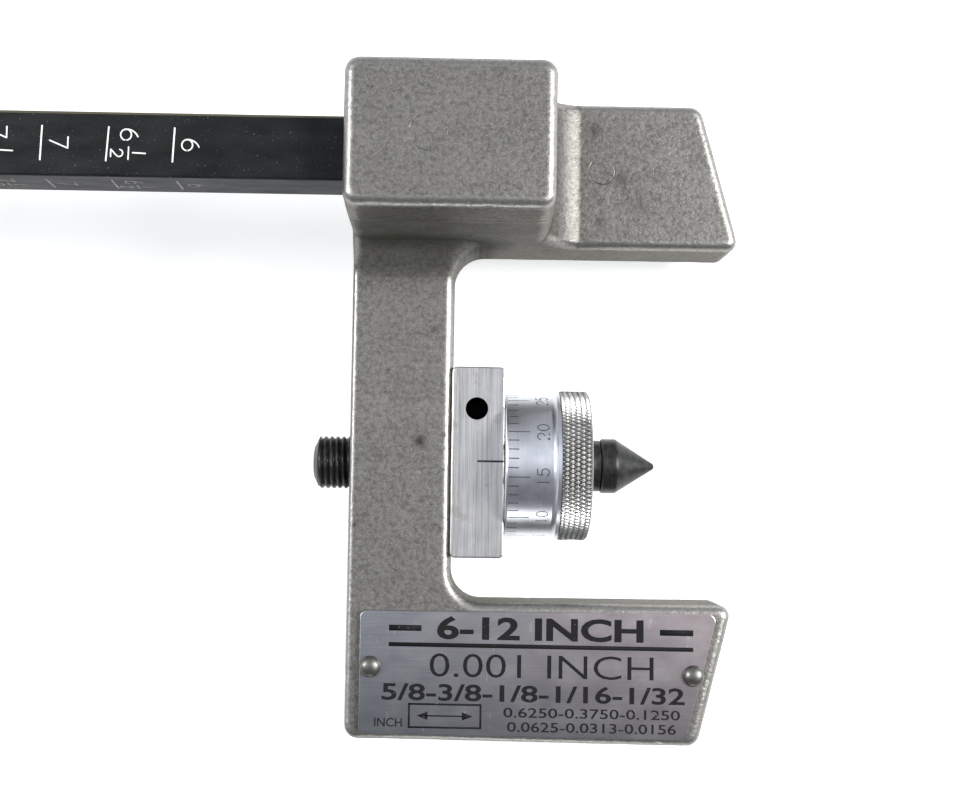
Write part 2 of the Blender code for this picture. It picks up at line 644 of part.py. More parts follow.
def make_jaw_casting(parent, material):
    leg_right = JAW_LEFT_X + JAW_LEG_WIDTH
    leg = prism(
        rounded_outline(
            [
                (JAW_LEFT_X, JAW_FOOT_Y, OPENING_RADIUS),
                (leg_right, JAW_FOOT_Y, OPENING_RADIUS),
                (leg_right, OPENING_TOP_Y, OPENING_RADIUS),
                (JAW_RIGHT_X, OPENING_TOP_Y, CORNER_RADIUS),
                (JAW_RIGHT_X, ARM_TOP_Y, CORNER_RADIUS),
                (JAW_LEFT_X, ARM_TOP_Y, CORNER_RADIUS),
            ]
        ),
        0,
        JAW_LEG_Z,
    )
    round_ends(leg, PLATE_EDGE, 0, JAW_LEG_Z)
    casting = make_object("jaw_casting", leg, parent, material)
    block = drafted_block(JAW_LEFT_X, JAW_RIGHT_X, 2 * PLATE_EDGE)
    boolean(casting, make_cutter("jaw_block_shape", block, parent), "UNION")
    half = BAR_SIDE / 2 + GAP
    slot = box(
        (JAW_LEFT_X - MM, BAR_Y - half, BAR_Z - half),
        (JAW_RIGHT_X + MM, BAR_Y + half, BAR_Z + half),
    )
    boolean(casting, make_cutter("jaw_bar_slot", slot, parent))
    bore = rod(
        JAW_LEFT_X - MM, leg_right + MM, SPINDLE_RADIUS + GAP, (0, 0, AXIS_Z), "X"
    )
    boolean(casting, make_cutter("jaw_contact_bore", bore, parent))
    contact_screw_x = JAW_LEFT_X + JAW_LEG_WIDTH / 2
    hole = rod(
        AXIS_Z, JAW_LEG_Z + MM, SET_SCREW_RADIUS + GAP, (contact_screw_x, 0, 0), "Z", 24
    )
    boolean(casting, make_cutter("jaw_contact_screw_hole", hole, parent))
    step_y = LOCK_INNER_Y + GAP / 2 - LOCK_TRAVEL
    profile = [(BAR_Y, 0), (BAR_Y, LOCK_PLUNGER_RADIUS + GAP), (step_y, LOCK_PLUNGER_RADIUS + GAP)]
    profile += [(step_y, LOCK_RADIUS + GAP), (ARM_TOP_Y + MM, LOCK_RADIUS + GAP)]
    profile += [(ARM_TOP_Y + MM, 0)]
    lock_hole = turned(profile, (LOCK_X, 0, BAR_Z), "Y", 24)
    boolean(casting, make_cutter("jaw_lock_hole", lock_hole, parent))
    return casting


def make_jaw_contact(parent, materials):
    flat_x = JAW_LEFT_X + JAW_LEG_WIDTH + CONTACT_PAST_FOOT
    profile = [(flat_x, 0), (flat_x, SPINDLE_RADIUS - CONTACT_EDGE)]
    profile += [(flat_x - CONTACT_EDGE, SPINDLE_RADIUS)]
    profile += cone_end(JAW_TIP_X, -1, SPINDLE_RADIUS)
    contact = turned(profile, (0, 0, AXIS_Z))
    make_object("jaw_contact", contact, parent, materials["black"])
    set_screw(
        "jaw_contact_set_screw",
        AXIS_Z + SPINDLE_RADIUS + GAP,
        JAW_LEG_Z,
        SET_SCREW_RADIUS,
        (JAW_LEFT_X + JAW_LEG_WIDTH / 2, 0, 0),
        "Z",
        parent,
        materials["screw"],
    )


def make_lock(plunger_parent, screw_parent, materials):
    origin = (LOCK_X, 0, BAR_Z)
    tip = BAR_BACK_Y + GAP
    profile = [
        (tip, 0),
        (tip, LOCK_TIP_RADIUS),
        (tip + LOCK_TIP_LENGTH, LOCK_PLUNGER_RADIUS),
        (LOCK_INNER_Y, LOCK_PLUNGER_RADIUS),
        (LOCK_INNER_Y, 0),
    ]
    plunger = turned(profile, origin, "Y", 24)
    make_object("lock_plunger", plunger, plunger_parent, materials["brass"])
    start, edge = LOCK_INNER_Y + GAP, LOCK_HEAD_EDGE
    end = LOCK_HEAD_Y + LOCK_HEAD_LENGTH
    profile = [
        (start, 0),
        (start, LOCK_RADIUS),
        (LOCK_HEAD_Y, LOCK_RADIUS),
        (LOCK_HEAD_Y, LOCK_HEAD_RADIUS - edge),
        (LOCK_HEAD_Y + edge, LOCK_HEAD_RADIUS),
        (end - edge, LOCK_HEAD_RADIUS),
        (end, LOCK_HEAD_RADIUS - edge),
        (end, 0),
    ]
    screw = turned(profile, origin, "Y", 32)
    make_object("lock_thumb_screw", screw, screw_parent, materials["knurl"])


def main():
    clear_scene()
    materials = {
        "casting": make_material("cast_aluminium", (0.27, 0.265, 0.245), 0.5, 0.7),
        "bar": make_material("black_bar", (0.02, 0.021, 0.025), 0.4, 0.6),
        "nut": make_material("machined_aluminium", (0.55, 0.54, 0.5), 0.35, 0.9),
        "sleeve": make_material("satin_chrome", (0.62, 0.62, 0.6), 0.28, 0.95),
        "knurl": make_material("knurled_steel", (0.5, 0.5, 0.48), 0.35, 0.95),
        "black": make_material("black_oxide", (0.03, 0.03, 0.032), 0.42, 0.7),
        "label": make_material("printed_plate", (0.35, 0.36, 0.4), 0.35, 0.8),
        "rivet": make_material("rivet_steel", (0.3, 0.3, 0.28), 0.4, 0.9),
        "screw": make_material("screw_steel", (0.08, 0.08, 0.085), 0.45, 0.8),
        "brass": make_material("brass", (0.6, 0.42, 0.15), 0.35, 1.0),
    }
    middle = Vector((-sum(OBJECT_X) / 2, -sum(OBJECT_Y) / 2, 0))
    assembly = make_empty("assembly", middle)
    frame = make_empty("frame_root", (0, 0, 0), assembly)
    make_frame_casting(frame, materials["casting"])
    make_bar(frame, materials["bar"])
    make_bar_stop(frame, materials["screw"])
    make_bar_set_screws(frame, materials["screw"])
    make_nut_block(frame, materials["nut"])
    make_nut_block_screws(frame, materials["screw"])
    make_nameplate(frame, materials["label"])
    make_rivets(frame, materials["rivet"])

    point = make_empty("spindle_axis", (0, 0, AXIS_Z), frame)
    make_cone_point(point, materials["black"])
    thimble = make_empty("thimble_axis", (0, 0, 0), point)
    make_spindle(thimble, materials["black"])
    make_retaining_pin(thimble, materials["screw"])
    make_thimble(thimble, materials)

    jaw = make_empty("jaw_axis", (JAW_RIGHT_X, BAR_Y, BAR_Z), frame)
    make_jaw_casting(jaw, materials["casting"])
    make_jaw_contact(jaw, materials)
    lock = make_empty("lock_axis", (LOCK_X - JAW_RIGHT_X, 0, 0), jaw)
    lock_turn = make_empty("lock_turn_axis", (0, 0, 0), lock)
    make_lock(lock, lock_turn, materials)


main()
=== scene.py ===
"""The looks of the brake drum micrometer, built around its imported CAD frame.

Sizes are millimetres in the part's design frame: X = 0 is the frame casting's left edge, Y = 0 the
spindle's axis and Z = 0 the table. ORIGIN and MM carry them into the row frame, which is metres.
"""

import json
import math
import random

import bmesh
import bpy
import numpy as np
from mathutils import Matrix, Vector, noise


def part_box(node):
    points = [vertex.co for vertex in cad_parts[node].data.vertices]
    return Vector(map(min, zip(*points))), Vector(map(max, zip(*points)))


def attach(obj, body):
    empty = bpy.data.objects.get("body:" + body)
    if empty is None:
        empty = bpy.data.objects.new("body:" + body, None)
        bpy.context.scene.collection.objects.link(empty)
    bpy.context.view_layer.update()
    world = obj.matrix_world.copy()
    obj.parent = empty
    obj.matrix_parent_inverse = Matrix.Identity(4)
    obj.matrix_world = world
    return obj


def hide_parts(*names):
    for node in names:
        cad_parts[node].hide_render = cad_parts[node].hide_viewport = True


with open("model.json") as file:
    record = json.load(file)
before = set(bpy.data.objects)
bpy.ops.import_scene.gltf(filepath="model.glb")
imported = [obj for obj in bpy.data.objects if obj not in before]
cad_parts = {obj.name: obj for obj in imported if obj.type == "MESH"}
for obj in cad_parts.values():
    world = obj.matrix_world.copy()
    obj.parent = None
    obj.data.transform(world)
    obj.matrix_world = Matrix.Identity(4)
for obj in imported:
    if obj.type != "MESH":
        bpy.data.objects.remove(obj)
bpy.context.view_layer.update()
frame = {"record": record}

MM = 0.001
INCH = 25.4
GAP = 0.3
RECORD = frame["record"]
BODY = {n: body for body, nodes in RECORD["behaviour"]["bodies"].items() for n in nodes}
SLOT = {row["node"]: row["material_slot"] for row in RECORD["subparts"]}

spindle_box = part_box("spindle")
ORIGIN = Vector((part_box("frame_casting")[0].x, (spindle_box[0].y + spindle_box[1].y) / 2, 0))


def span(node):
    """A CAD node's lowest and highest corners in the design frame."""
    return tuple((corner - ORIGIN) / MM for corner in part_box(node))


CASTING = span("frame_casting")
JAW = span("jaw_casting")
BAR = span("bar")
SPINDLE = span("spindle")
CONE = span("cone_point")
CONE_HALF_ANGLE = math.radians(32.5)
KNOB = span("thimble_knob")
SLEEVE = span("graduated_sleeve")
NUT = span("nut_block")
NUT_HOLE = (26.5, 11.5)
NUT_HOLE_RADIUS = 2.26
NUT_GROWTH = ((0.45, 0, 0), (0.2, 0.7, 0))  # closes the gaps beside the CAD block
INDEX_X, INDEX_Y = 26.9, 0.5
LABEL = span("nameplate")
CONTACT = span("jaw_contact")

# Frame casting
AXIS_Z = (KNOB[0].z + KNOB[1].z) / 2
PLATE_BACK = CASTING[0].z
PLATE_FACE = 24.0
PLATE_EDGE = 1.8
PLATE_LEFT_EDGE = 0.8
WEB_WIDTH = 21.4
OPENING_Y = (-28.9, 45.8)
ARM_BOTTOM_Y = (-57.0, -58.0)  # below the web, at the lower arm's end
UPPER_END = (73.5, 82.0)  # where the upper arm ends, at its top edge and at the opening
LOWER_END = (80.5, 73.1)  # where the lower arm ends, at the opening and at its bottom edge
OPENING_RADIUS = 6.5
CORNER_RADIUS = 3.0
NOSE_RADIUS = 2.2
BLOCK_WIDTH = 41.0
BLOCK_TOP = CASTING[1].z
BLOCK_LEAN_X = 0.6  # how far the block's sides lean in over their whole height
BLOCK_LEAN_OUTER = 2.0
BLOCK_LEAN_INNER = (0.3, 0.8)  # below and above the parting line
PARTING_Z = 48.6
PARTING_DEPTH = 0.16
BLOCK_RADIUS = 2.8
BLOCK_EDGE = 1.8
BLOCK_FILLET = 9.0
FILLET_SINK = 0.28  # the fillet ends in a faint crease
CAST_STEP = 0.5

# Bar and its marks
BAR_Y = (BAR[0].y + BAR[1].y) / 2
BAR_Z = (BAR[0].z + BAR[1].z) / 2
BAR_HALF = (BAR[1].z - BAR[0].z) / 2
BAR_BURIED = BAR[1].x
FIRST_MARK_X = -32.85
FIRST_MARK_INCHES = 6
LAST_MARK_INCHES = 12
MARKS = 2 * (LAST_MARK_INCHES - FIRST_MARK_INCHES) + 1
BAR_SET_SCREW_X = (11, 26)
SET_SCREW_BORE = 3.3
CAP_SCREW_BORE = 3.6
NUT_SCREW_YZ = ((-13, 12.5), (13, 12.5))

# Screw thread and knurls
THREAD_PITCH = INCH / 20
THREAD_DEPTH = 0.52
SPINDLE_RADIUS = (SPINDLE[1].y - SPINDLE[0].y) / 2
SPINDLE_BORE = SPINDLE_RADIUS + 0.2
SMALL_PITCH = 1.0
KNURL_RADIUS = (KNOB[1].z - KNOB[0].z) / 2
KNURL_DEPTH = 0.38
KNURLS_ROUND = 106  # grooves of each family round the knob
HUB_RADIUS = 9.5
SLEEVE_RADIUS = (SLEEVE[1].y - SLEEVE[0].y) / 2
SHANK_RADIUS = 5.5
DIVISIONS = 50
READING = 16.7  # what the sleeve shows at rest

# Nameplate and its printing
LABEL_SLANT = 6.5
LABEL_RISE = 0.8  # how much higher the lower edge is at the left
PRINT_TURN = -0.4  # degrees, about PRINT_MIDDLE
PRINT_MIDDLE = 40
INK_DEPTH = 0.04
PRINT_BARS = (  # left, bottom, right and top of the dashes, the rule, the box and the arrow's shaft
    (9.0, -34.85, 15.7, -33.65), (65.0, -34.85, 71.9, -33.65), (9.0, -38.05, 71.9, -37.2),
    (13.2, -49.9, 28.3, -49.5), (13.2, -54.6, 28.3, -54.2), (13.2, -54.2, 13.6, -49.9),
    (27.9, -54.2, 28.3, -49.9), (16.5, -52.2, 25.0, -51.9),
)
PRINT_LINES = (  # characters, their lower left and upper right corners, and the added weight
    ("6-12 INCH", (18.9, -36.45), (61.6, -31.65), 0.03),
    ("0.001 INCH", (17.5, -44.1), (63.7, -39.3), -0.006),
    ("5/8-3/8-1/8-1/16-1/32", (7.7, -49.0), (70.2, -45.5), 0.02),
    ("INCH", (6.3, -54.4), (12.0, -52.6), 0.01),
    ("0.6250-0.3750-0.1250", (32.8, -52.1), (69.2, -50.1), 0.008),
    ("0.0625-0.0313-0.0156", (33.6, -55.0), (68.4, -53.0), 0.008),
)
ARROW_TIPS = ((15.0, 1), (26.5, -1))  # where a tip is, and which way its arrow head widens
ARROW_Y = -52.05
ARROW_HEAD = (2.2, 0.85)  # length and half width

# Old marks in the castings: x, y, radius and strength of a stain; x, y and radius of a circle
FRAME_STAINS = (
    (19.8, 5.9, 0.45, 0.9), (14.6, 4.6, 1.2, 0.85), (17.0, 28.0, 0.6, 0.6), (31.0, 51.5, 0.35, 0.7),
    (33.6, 50.4, 0.3, 0.7), (12, -18, 0.4, 0.5), (7.6, 19.1, 0.45, 0.6), (7.3, 14.8, 0.4, 0.6),
    (1.2, -13.1, 0.5, 0.7), (50.7, 71.4, 1.3, 0.5), (56.8, 60.7, 1.5, 0.45), (51.9, 51.8, 0.8, 0.5),
    (60.0, 55.0, 2.2, 0.25),
)
CAST_CIRCLES = ((16.5, 60.7, 3.55), (52.4, 62.4, 2.75), ((JAW[0].x + JAW[1].x) / 2, 60.7, 3.55))
WAVES = ((7.0, 0.05), (1.3, 0.022))  # length and height of the castings' waviness
PITS = 90

# Shading, floor and room
SMOOTH = 35  # degrees between faces above which an edge is drawn sharp
FLAT = 12  # the same for big flat faces, whose shallow bevels would otherwise tint them
OPEN = 99.0  # where a limit lets a profile keep its own radius
FLOOR_GLOW = 0.7
FLOOR_REACH = 6000
FLOOR_Z = -0.05
WORLD_FADES = (  # axis, then the direction's two values there and the light at each of them
    ("Y", -0.32, 0.0, 0.14, 0.73), ("Y", 0.3, 0.6, 1.0, 0.6),
    ("X", 0.35, 0.75, 1.0, 1.5), ("X", -0.75, -0.35, 1.2, 1.0),
)


# ---------------------------------------------------------------- meshes


class Shape:
    """Vertices and faces in design millimetres, gathered from several parts."""

    def __init__(self):
        self.vertices, self.faces = [], []

    def add(self, vertices, faces):
        first = len(self.vertices)
        self.vertices.extend([tuple(vertex) for vertex in vertices])
        self.faces.extend([[first + index for index in face] for face in faces])


def add_object(name, vertices, faces, material, sharp=SMOOTH):
    """A smooth-shaded mesh object from design millimetres."""
    mesh = bpy.data.meshes.new(name)
    placed = np.asarray(vertices, float) * MM + np.array(ORIGIN)
    mesh.from_pydata(placed.tolist(), [], [list(face) for face in faces])
    mesh.validate()
    mesh.shade_smooth()
    if sharp:
        mesh.set_sharp_from_angle(angle=math.radians(sharp))
    mesh.materials.append(material)
    obj = bpy.data.objects.new(name, mesh)
    bpy.context.collection.objects.link(obj)
    return obj


def stand_for(obj, node):
    """obj takes the place of a CAD node: it joins the node's body and the node is hidden."""
    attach(obj, BODY[node])
    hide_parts(node)
    return obj


def write_attribute(obj, name, values):
    attribute = obj.data.attributes.new(name, "FLOAT", "POINT")
    attribute.data.foreach_set("value", values.astype(np.float32))


def places_of(obj):
    """An object's vertices in design millimetres."""
    return (np.array([vertex.co for vertex in obj.data.vertices]) - np.array(ORIGIN)) / MM


def box_mesh(low, high):
    bm = bmesh.new()
    vertices, faces = box_shape(low, high)
    verts = [bm.verts.new(vertex) for vertex in vertices]
    for face in faces:
        bm.faces.new([verts[index] for index in face])
    return bm


def bevel(bm, edges, offset, segments):
    bmesh.ops.bevel(bm, geom=edges, offset=offset, segments=segments, profile=0.5, affect="EDGES")


def from_bmesh(name, bm, material, sharp=SMOOTH):
    bmesh.ops.recalc_face_normals(bm, faces=bm.faces)
    bm.verts.index_update()
    vertices = [tuple(vert.co) for vert in bm.verts]
    faces = [[vert.index for vert in face.verts] for face in bm.faces]
    bm.free()
    return add_object(name, vertices, faces, material, sharp)


def carve(obj, cutters, sharp=SMOOTH):
    """Cuts closed (vertices, faces) shapes out of obj and keeps the result as its mesh."""
    for vertices, faces in cutters:
        cutter = add_object("cutter", vertices, faces, obj.data.materials[0], None)
        modifier = obj.modifiers.new("cut", "BOOLEAN")
        modifier.object = cutter
        modifier.solver = "EXACT"
        evaluated = obj.evaluated_get(bpy.context.evaluated_depsgraph_get())
        mesh = bpy.data.meshes.new_from_object(evaluated)
        obj.modifiers.clear()
        obj.data = mesh
        bpy.data.objects.remove(cutter)
    obj.data.shade_smooth()
    obj.data.set_sharp_from_angle(angle=math.radians(sharp))
    return obj


AXES = {
    "X": np.array(((0, 0, 1), (1, 0, 0), (0, 1, 0))),
    "Y": np.array(((0, 1, 0), (0, 0, 1), (1, 0, 0))),
    "-Y": np.array(((0, -1, 0), (0, 0, -1), (1, 0, 0))),
    "Z": np.eye(3),
}


def finer(profile, step):
    """The same profile with points no further apart than step."""
    points = [profile[0]]
    for start, end in zip(profile, profile[1:]):
        parts = max(1, math.ceil(math.dist(start, end) / step))
        for part in range(1, parts + 1):
            share = part / parts
            points.append((start[0] + (end[0] - start[0]) * share,
                           start[1] + (end[1] - start[1]) * share))
    return points


def turned(profile, origin=(0, 0, 0), axis="X", segments=96, limit=None):
    """A solid of revolution. The profile is (along, radius) from one end to the other.
    limit(along, angle) is the largest radius there, as for a thread or a knurl."""
    along = np.array([p[0] for p in profile], float)
    radius = np.array([p[1] for p in profile], float)
    angle = np.arange(segments) * math.tau / segments
    radii = np.repeat(radius[:, None], segments, axis=1)
    if limit:
        radii = np.minimum(radii, limit(along[:, None], angle[None, :]))
    local = np.stack([radii * np.cos(angle), radii * np.sin(angle),
                      np.repeat(along[:, None], segments, axis=1)], axis=2)
    vertices = local.reshape(-1, 3) @ AXES[axis].T + np.array(origin)
    faces = []
    closed = radius[0] > 0
    rings = len(profile)
    for ring in range(rings if closed else rings - 1):
        low, high = ring * segments, (ring + 1) % rings * segments
        for step in range(segments):
            after = (step + 1) % segments
            corners = [low + step, low + after, high + after, high + step]
            if radius[ring] == 0:
                corners = [low, high + after, high + step]
            elif radius[(ring + 1) % rings] == 0:
                corners = [low + step, low + after, high]
            faces.append(corners)
    used = sorted({index for face in faces for index in face})
    renumber = {old: new for new, old in enumerate(used)}
    return vertices[used], [[renumber[index] for index in face] for face in faces]


def turned_piece(node, profile, origin, axis="X", segments=96, limit=None, sharp=SMOOTH, cuts=()):
    """A node's visual piece, turned and then cut, in the finish of its slot."""
    vertices, faces = turned(profile, origin, axis, segments, limit)
    obj = add_object(node + "_fine", vertices, faces, FINISHES[SLOT[node]], sharp)
    if cuts:
        carve(obj, cuts)
    return stand_for(obj, node)


def rod(start, end, radius, origin, axis, segments):
    """A plain cylinder or, with six segments, a hexagon. It mostly cuts holes."""
    return turned([(start, 0), (start, radius), (end, radius), (end, 0)], origin, axis, segments)


def chamfered(start, end, radius, chamfer):
    """The profile of a plain rod with a chamfer at both ends."""
    return [(start, 0), (start, radius - chamfer), (start + chamfer, radius),
            (end - chamfer, radius), (end, radius - chamfer), (end, 0)]


def box_shape(low, high):
    low, high = Vector(low), Vector(high)
    vertices = [(x, y, z) for x in (low.x, high.x) for y in (low.y, high.y)
                for z in (low.z, high.z)]
    faces = [(0, 1, 3, 2), (4, 6, 7, 5), (0, 4, 5, 1), (2, 3, 7, 6), (0, 2, 6, 4), (1, 5, 7, 3)]
    return vertices, faces


def rounded_outline(corners, steps=8):
    """Corners are (x, y, radius). Each becomes an arc tangent to its two sides."""
    points = []
    for index, (x, y, radius) in enumerate(corners):
        corner = Vector((x, y))
        before = (Vector(corners[index - 1][:2]) - corner).normalized()
        after = (Vector(corners[(index + 1) % len(corners)][:2]) - corner).normalized()
        half = before.angle(after) / 2
        centre = corner + (before + after).normalized() * radius / math.sin(half)
        first = corner + before * radius / math.tan(half) - centre
        last = corner + after * radius / math.tan(half) - centre
        for step in range(steps + 1):
            direction = first.slerp(last, step / steps).normalized()
            points.append(centre + direction * radius)
    return points


# ---------------------------------------------------------------- fields and their surfaces


def round_max(a, b, radius):
    """Where two solids meet, both kept: their common part, with its outer edge rounded."""
    corner = np.hypot(np.maximum(a + radius, 0), np.maximum(b + radius, 0))
    return np.minimum(np.maximum(a, b), -radius) + corner


def round_min(a, b, radius):
    """Two solids joined, with a fillet of that radius in the inner corner."""
    return -round_max(-a, -b, radius)


def slab(value, low, high):
    return np.maximum(low - value, value - high)


def outline_distance(outline, x, y):
    """The distance from points to a closed outline, negative inside it."""
    nearest, inside = np.inf, False
    for (ax, ay), (bx, by) in zip(outline, outline[1:] + outline[:1]):
        dx, dy = bx - ax, by - ay
        share = np.clip(((x - ax) * dx + (y - ay) * dy) / (dx * dx + dy * dy), 0, 1)
        nearest = np.minimum(nearest, np.hypot(x - ax - share * dx, y - ay - share * dy))
        if dy:
            inside = inside ^ (((ay > y) != (by > y)) & (x < dx * (y - ay) / dy + ax))
    return np.where(inside, -nearest, nearest)


def surface_of(field, low, high, step):
    """A closed mesh of quads where the field is zero: one vertex in each cell that it crosses,
    at the mean of its crossings, then moved onto the surface along the field's slope."""
    axes = [np.arange(a - 2 * step, b + 3 * step, step) for a, b in zip(low, high)]
    x, y, z = np.meshgrid(*axes, indexing="ij", sparse=True)
    values = np.broadcast_to(field(x, y, z), tuple(map(len, axes)))
    inside = values < 0
    shape = tuple(count - 1 for count in inside.shape)
    corners = [(i, j, k) for i in (0, 1) for j in (0, 1) for k in (0, 1)]

    def at(array, corner):
        return array[tuple(slice(c, c + n) for c, n in zip(corner, shape))]

    filled = sum(at(inside, corner).astype(np.int8) for corner in corners)
    crossed = (filled > 0) & (filled < 8)
    cells = np.argwhere(crossed)
    number = np.full(shape, -1)
    number[crossed] = np.arange(len(cells))
    total, hits = np.zeros((len(cells), 3)), np.zeros(len(cells))
    for corner in corners:
        for axis in range(3):
            if corner[axis]:
                continue
            other = tuple(c + (n == axis) for n, c in enumerate(corner))
            here, there = at(values, corner)[crossed], at(values, other)[crossed]
            changes = (here < 0) != (there < 0)
            share = here / np.where(changes, here - there, 1)
            point = np.array(corner, float) + share[:, None] * np.eye(3)[axis]
            total += np.where(changes[:, None], point, 0)
            hits += changes
    vertices = (cells + total / hits[:, None]) * step + [axis[0] for axis in axes]

    quads = []
    for axis in range(3):
        u, v = np.eye(3, dtype=int)[(axis + 1) % 3], np.eye(3, dtype=int)[(axis + 2) % 3]
        first = np.take(inside, range(inside.shape[axis] - 1), axis)
        second = np.take(inside, range(1, inside.shape[axis]), axis)
        edges = np.argwhere(first != second)
        ring = [edges, edges - u, edges - u - v, edges - v]
        quad = np.stack([number[tuple(cell.T)] for cell in ring], axis=1)
        outward = first[tuple(edges.T)]
        quads.append(np.where(outward[:, None], quad, quad[:, ::-1]))
    for _ in range(2):
        value, slope = slope_of(field, vertices)
        vertices = vertices - slope * np.clip(value, -step / 2, step / 2)[:, None]
    return vertices, np.concatenate(quads)


def slope_of(field, points, reach=0.05):
    """The field's value at points and its unit slope there."""
    value = field(*points.T)
    slope = np.stack([field(*(points + offset).T) - field(*(points - offset).T)
                      for offset in np.eye(3) * reach], axis=1)
    return value, slope / np.maximum(np.linalg.norm(slope, axis=1, keepdims=True), 1e-9)


def edge_and_shelter(field, points, slope, reach=0.9):
    """How convex the surface is at each point, about -1 to 1, and how much of the space in
    front of it is taken up by other parts of the piece, 0 to 1."""
    helper = np.where(abs(slope[:, 2:]) > 0.7, np.array([[1.0, 0, 0]]), np.array([[0, 0, 1.0]]))
    first = np.cross(slope, helper)
    first /= np.linalg.norm(first, axis=1, keepdims=True)
    second = np.cross(slope, first)
    around = [field(*(points + way * reach).T) for way in (first, -first, second, -second)]
    convex = sum(around) / 4 * 7 / reach**2
    distances = (2.5, 5.0, 9.0, 14.0)
    missing = [1 - field(*(points + slope * distance).T) / distance for distance in distances]
    return convex, np.clip(sum(missing) / len(distances) * 1.6, 0, 1)


def casting_field(outline, back, left, right, cuts):
    """A plate with rounded edges, a drafted block standing on it, and cuts."""
    middle_y = (OPENING_Y[1] + CASTING[1].y) / 2
    half_y = (CASTING[1].y - OPENING_Y[1]) / 2
    middle_x, half_x = (left + right) / 2, (right - left) / 2

    def field(x, y, z):
        flat = outline_distance(outline, x, y)
        edge = PLATE_EDGE + (PLATE_LEFT_EDGE - PLATE_EDGE) * np.exp(-((x - left) / 3) ** 2)
        plate = round_max(flat, slab(z, back, PLATE_FACE), edge)
        height = np.clip((z - PLATE_FACE) / (BLOCK_TOP - PLATE_FACE), 0, 1)
        lower = np.clip((z - PLATE_FACE) / (PARTING_Z - PLATE_FACE), 0, 1)
        upper = np.clip((z - PARTING_Z) / (BLOCK_TOP - PARTING_Z), 0, 1)
        inner = lower * BLOCK_LEAN_INNER[0] + upper * BLOCK_LEAN_INNER[1]
        across = np.maximum(middle_y - half_y + inner - y,
                            y - middle_y - half_y + height * BLOCK_LEAN_OUTER)
        sides = round_max(abs(x - middle_x) - half_x + height * BLOCK_LEAN_X, across, BLOCK_RADIUS)
        sides = sides + PARTING_DEPTH * np.exp(-((z - PARTING_Z) / 0.35) ** 2)
        foot = back + 2 * PLATE_EDGE - z
        block = np.maximum(round_max(sides, z - BLOCK_TOP, BLOCK_EDGE), foot)
        above = z - PLATE_FACE
        fillet = round_min(above, sides, BLOCK_FILLET) + FILLET_SINK
        fillet = np.maximum(fillet, above - BLOCK_FILLET)
        fillet = np.maximum(round_max(flat, fillet, PLATE_EDGE), foot)
        body = np.minimum(np.minimum(plate, block), fillet)
        for cut in cuts:
            body = round_max(body, -cut(x, y, z), 0.35)
        return body

    return field


def hole(axis, centre, radius, low, high):
    """A round hole along an axis, as a field. centre is the other two coordinates, in order."""

    def field(x, y, z):
        along = {"X": x, "Y": y, "Z": z}[axis]
        a, b = {"X": (y, z), "Y": (x, z), "Z": (x, y)}[axis]
        across = np.hypot(a - centre[0], b - centre[1]) - radius
        return np.maximum(across, slab(along, low, high))

    return field


def square_pocket(low_x, high_x):
    half = BAR_HALF + 0.1

    def field(x, y, z):
        across = np.maximum(abs(y - BAR_Y), abs(z - BAR_Z)) - half
        return np.maximum(across, slab(x, low_x, high_x))

    return field


def cast_piece(node, field, stains, seed):
    """A casting's fine surface, with its waviness and pits in the mesh and its wear, hollows,
    painted shade and stains as attributes for the material."""
    low, high = span(node)
    vertices, quads = surface_of(field, low, high, CAST_STEP)
    _, slope = slope_of(field, vertices)
    convex, sheltered = edge_and_shelter(field, vertices, slope)
    # painted shade: darker where the piece itself stands in front of the surface, more on walls
    # facing -Y
    painted_shade = sheltered * np.clip(0.3 - slope[:, 1], 0.12, 1)
    left, z = vertices[:, 0].min(), vertices[:, 2]
    below_parting = (np.clip((PARTING_Z - z) / 2, 0.3, 1)
                     * np.clip((z - PLATE_FACE + 14) / 16, 0.3, 1))
    # painted shade: walls facing -Y darken more below the parting line, most of all near the web
    painted_shade += np.clip(-slope[:, 1], 0, 1) ** 2 * below_parting * np.interp(
        vertices[:, 0] - left, (0, WEB_WIDTH, BLOCK_WIDTH, 60), (0.38, 0.31, 0.2, 0.1))
    wave = np.array([sum(noise.noise(Vector(v) / size) * depth for size, depth in WAVES)
                     for v in vertices])
    stain = np.zeros(len(vertices))
    rng = random.Random(seed)
    outward_z = slope[:, 2] > 0.8
    for _ in range(PITS):
        centre = vertices[rng.randrange(len(vertices))]
        size, depth = rng.uniform(0.35, 0.8), rng.uniform(0.06, 0.2)
        away = np.linalg.norm(vertices - centre, axis=1) / size
        wave -= depth * np.exp(-away**2)
    for x, y, radius, strength in stains:
        away = np.hypot(vertices[:, 0] - x, vertices[:, 1] - y) / radius
        stain = np.maximum(stain, strength * np.exp(-(away**2)) * outward_z)
    keep_inside = np.minimum(wave, 0.02)
    vertices = vertices + slope * keep_inside[:, None]
    obj = add_object(node + "_fine", vertices, quads, FINISHES[SLOT[node]], None)
    for name, values in (("worn", convex), ("hollow", -convex), ("painted_shade", painted_shade), ("stain", stain)):
        write_attribute(obj, name, np.clip(values, 0, 1))
    return stand_for(obj, node)


# ---------------------------------------------------------------- strokes and lettering


def arc(x, y, width, height, start, end, steps=14):
    """Points along an ellipse's arc. width and height are half axes, angles are degrees."""
    angles = np.radians(np.linspace(start, end, steps))
    return [(x + width * math.cos(a), y + height * math.sin(a)) for a in angles]


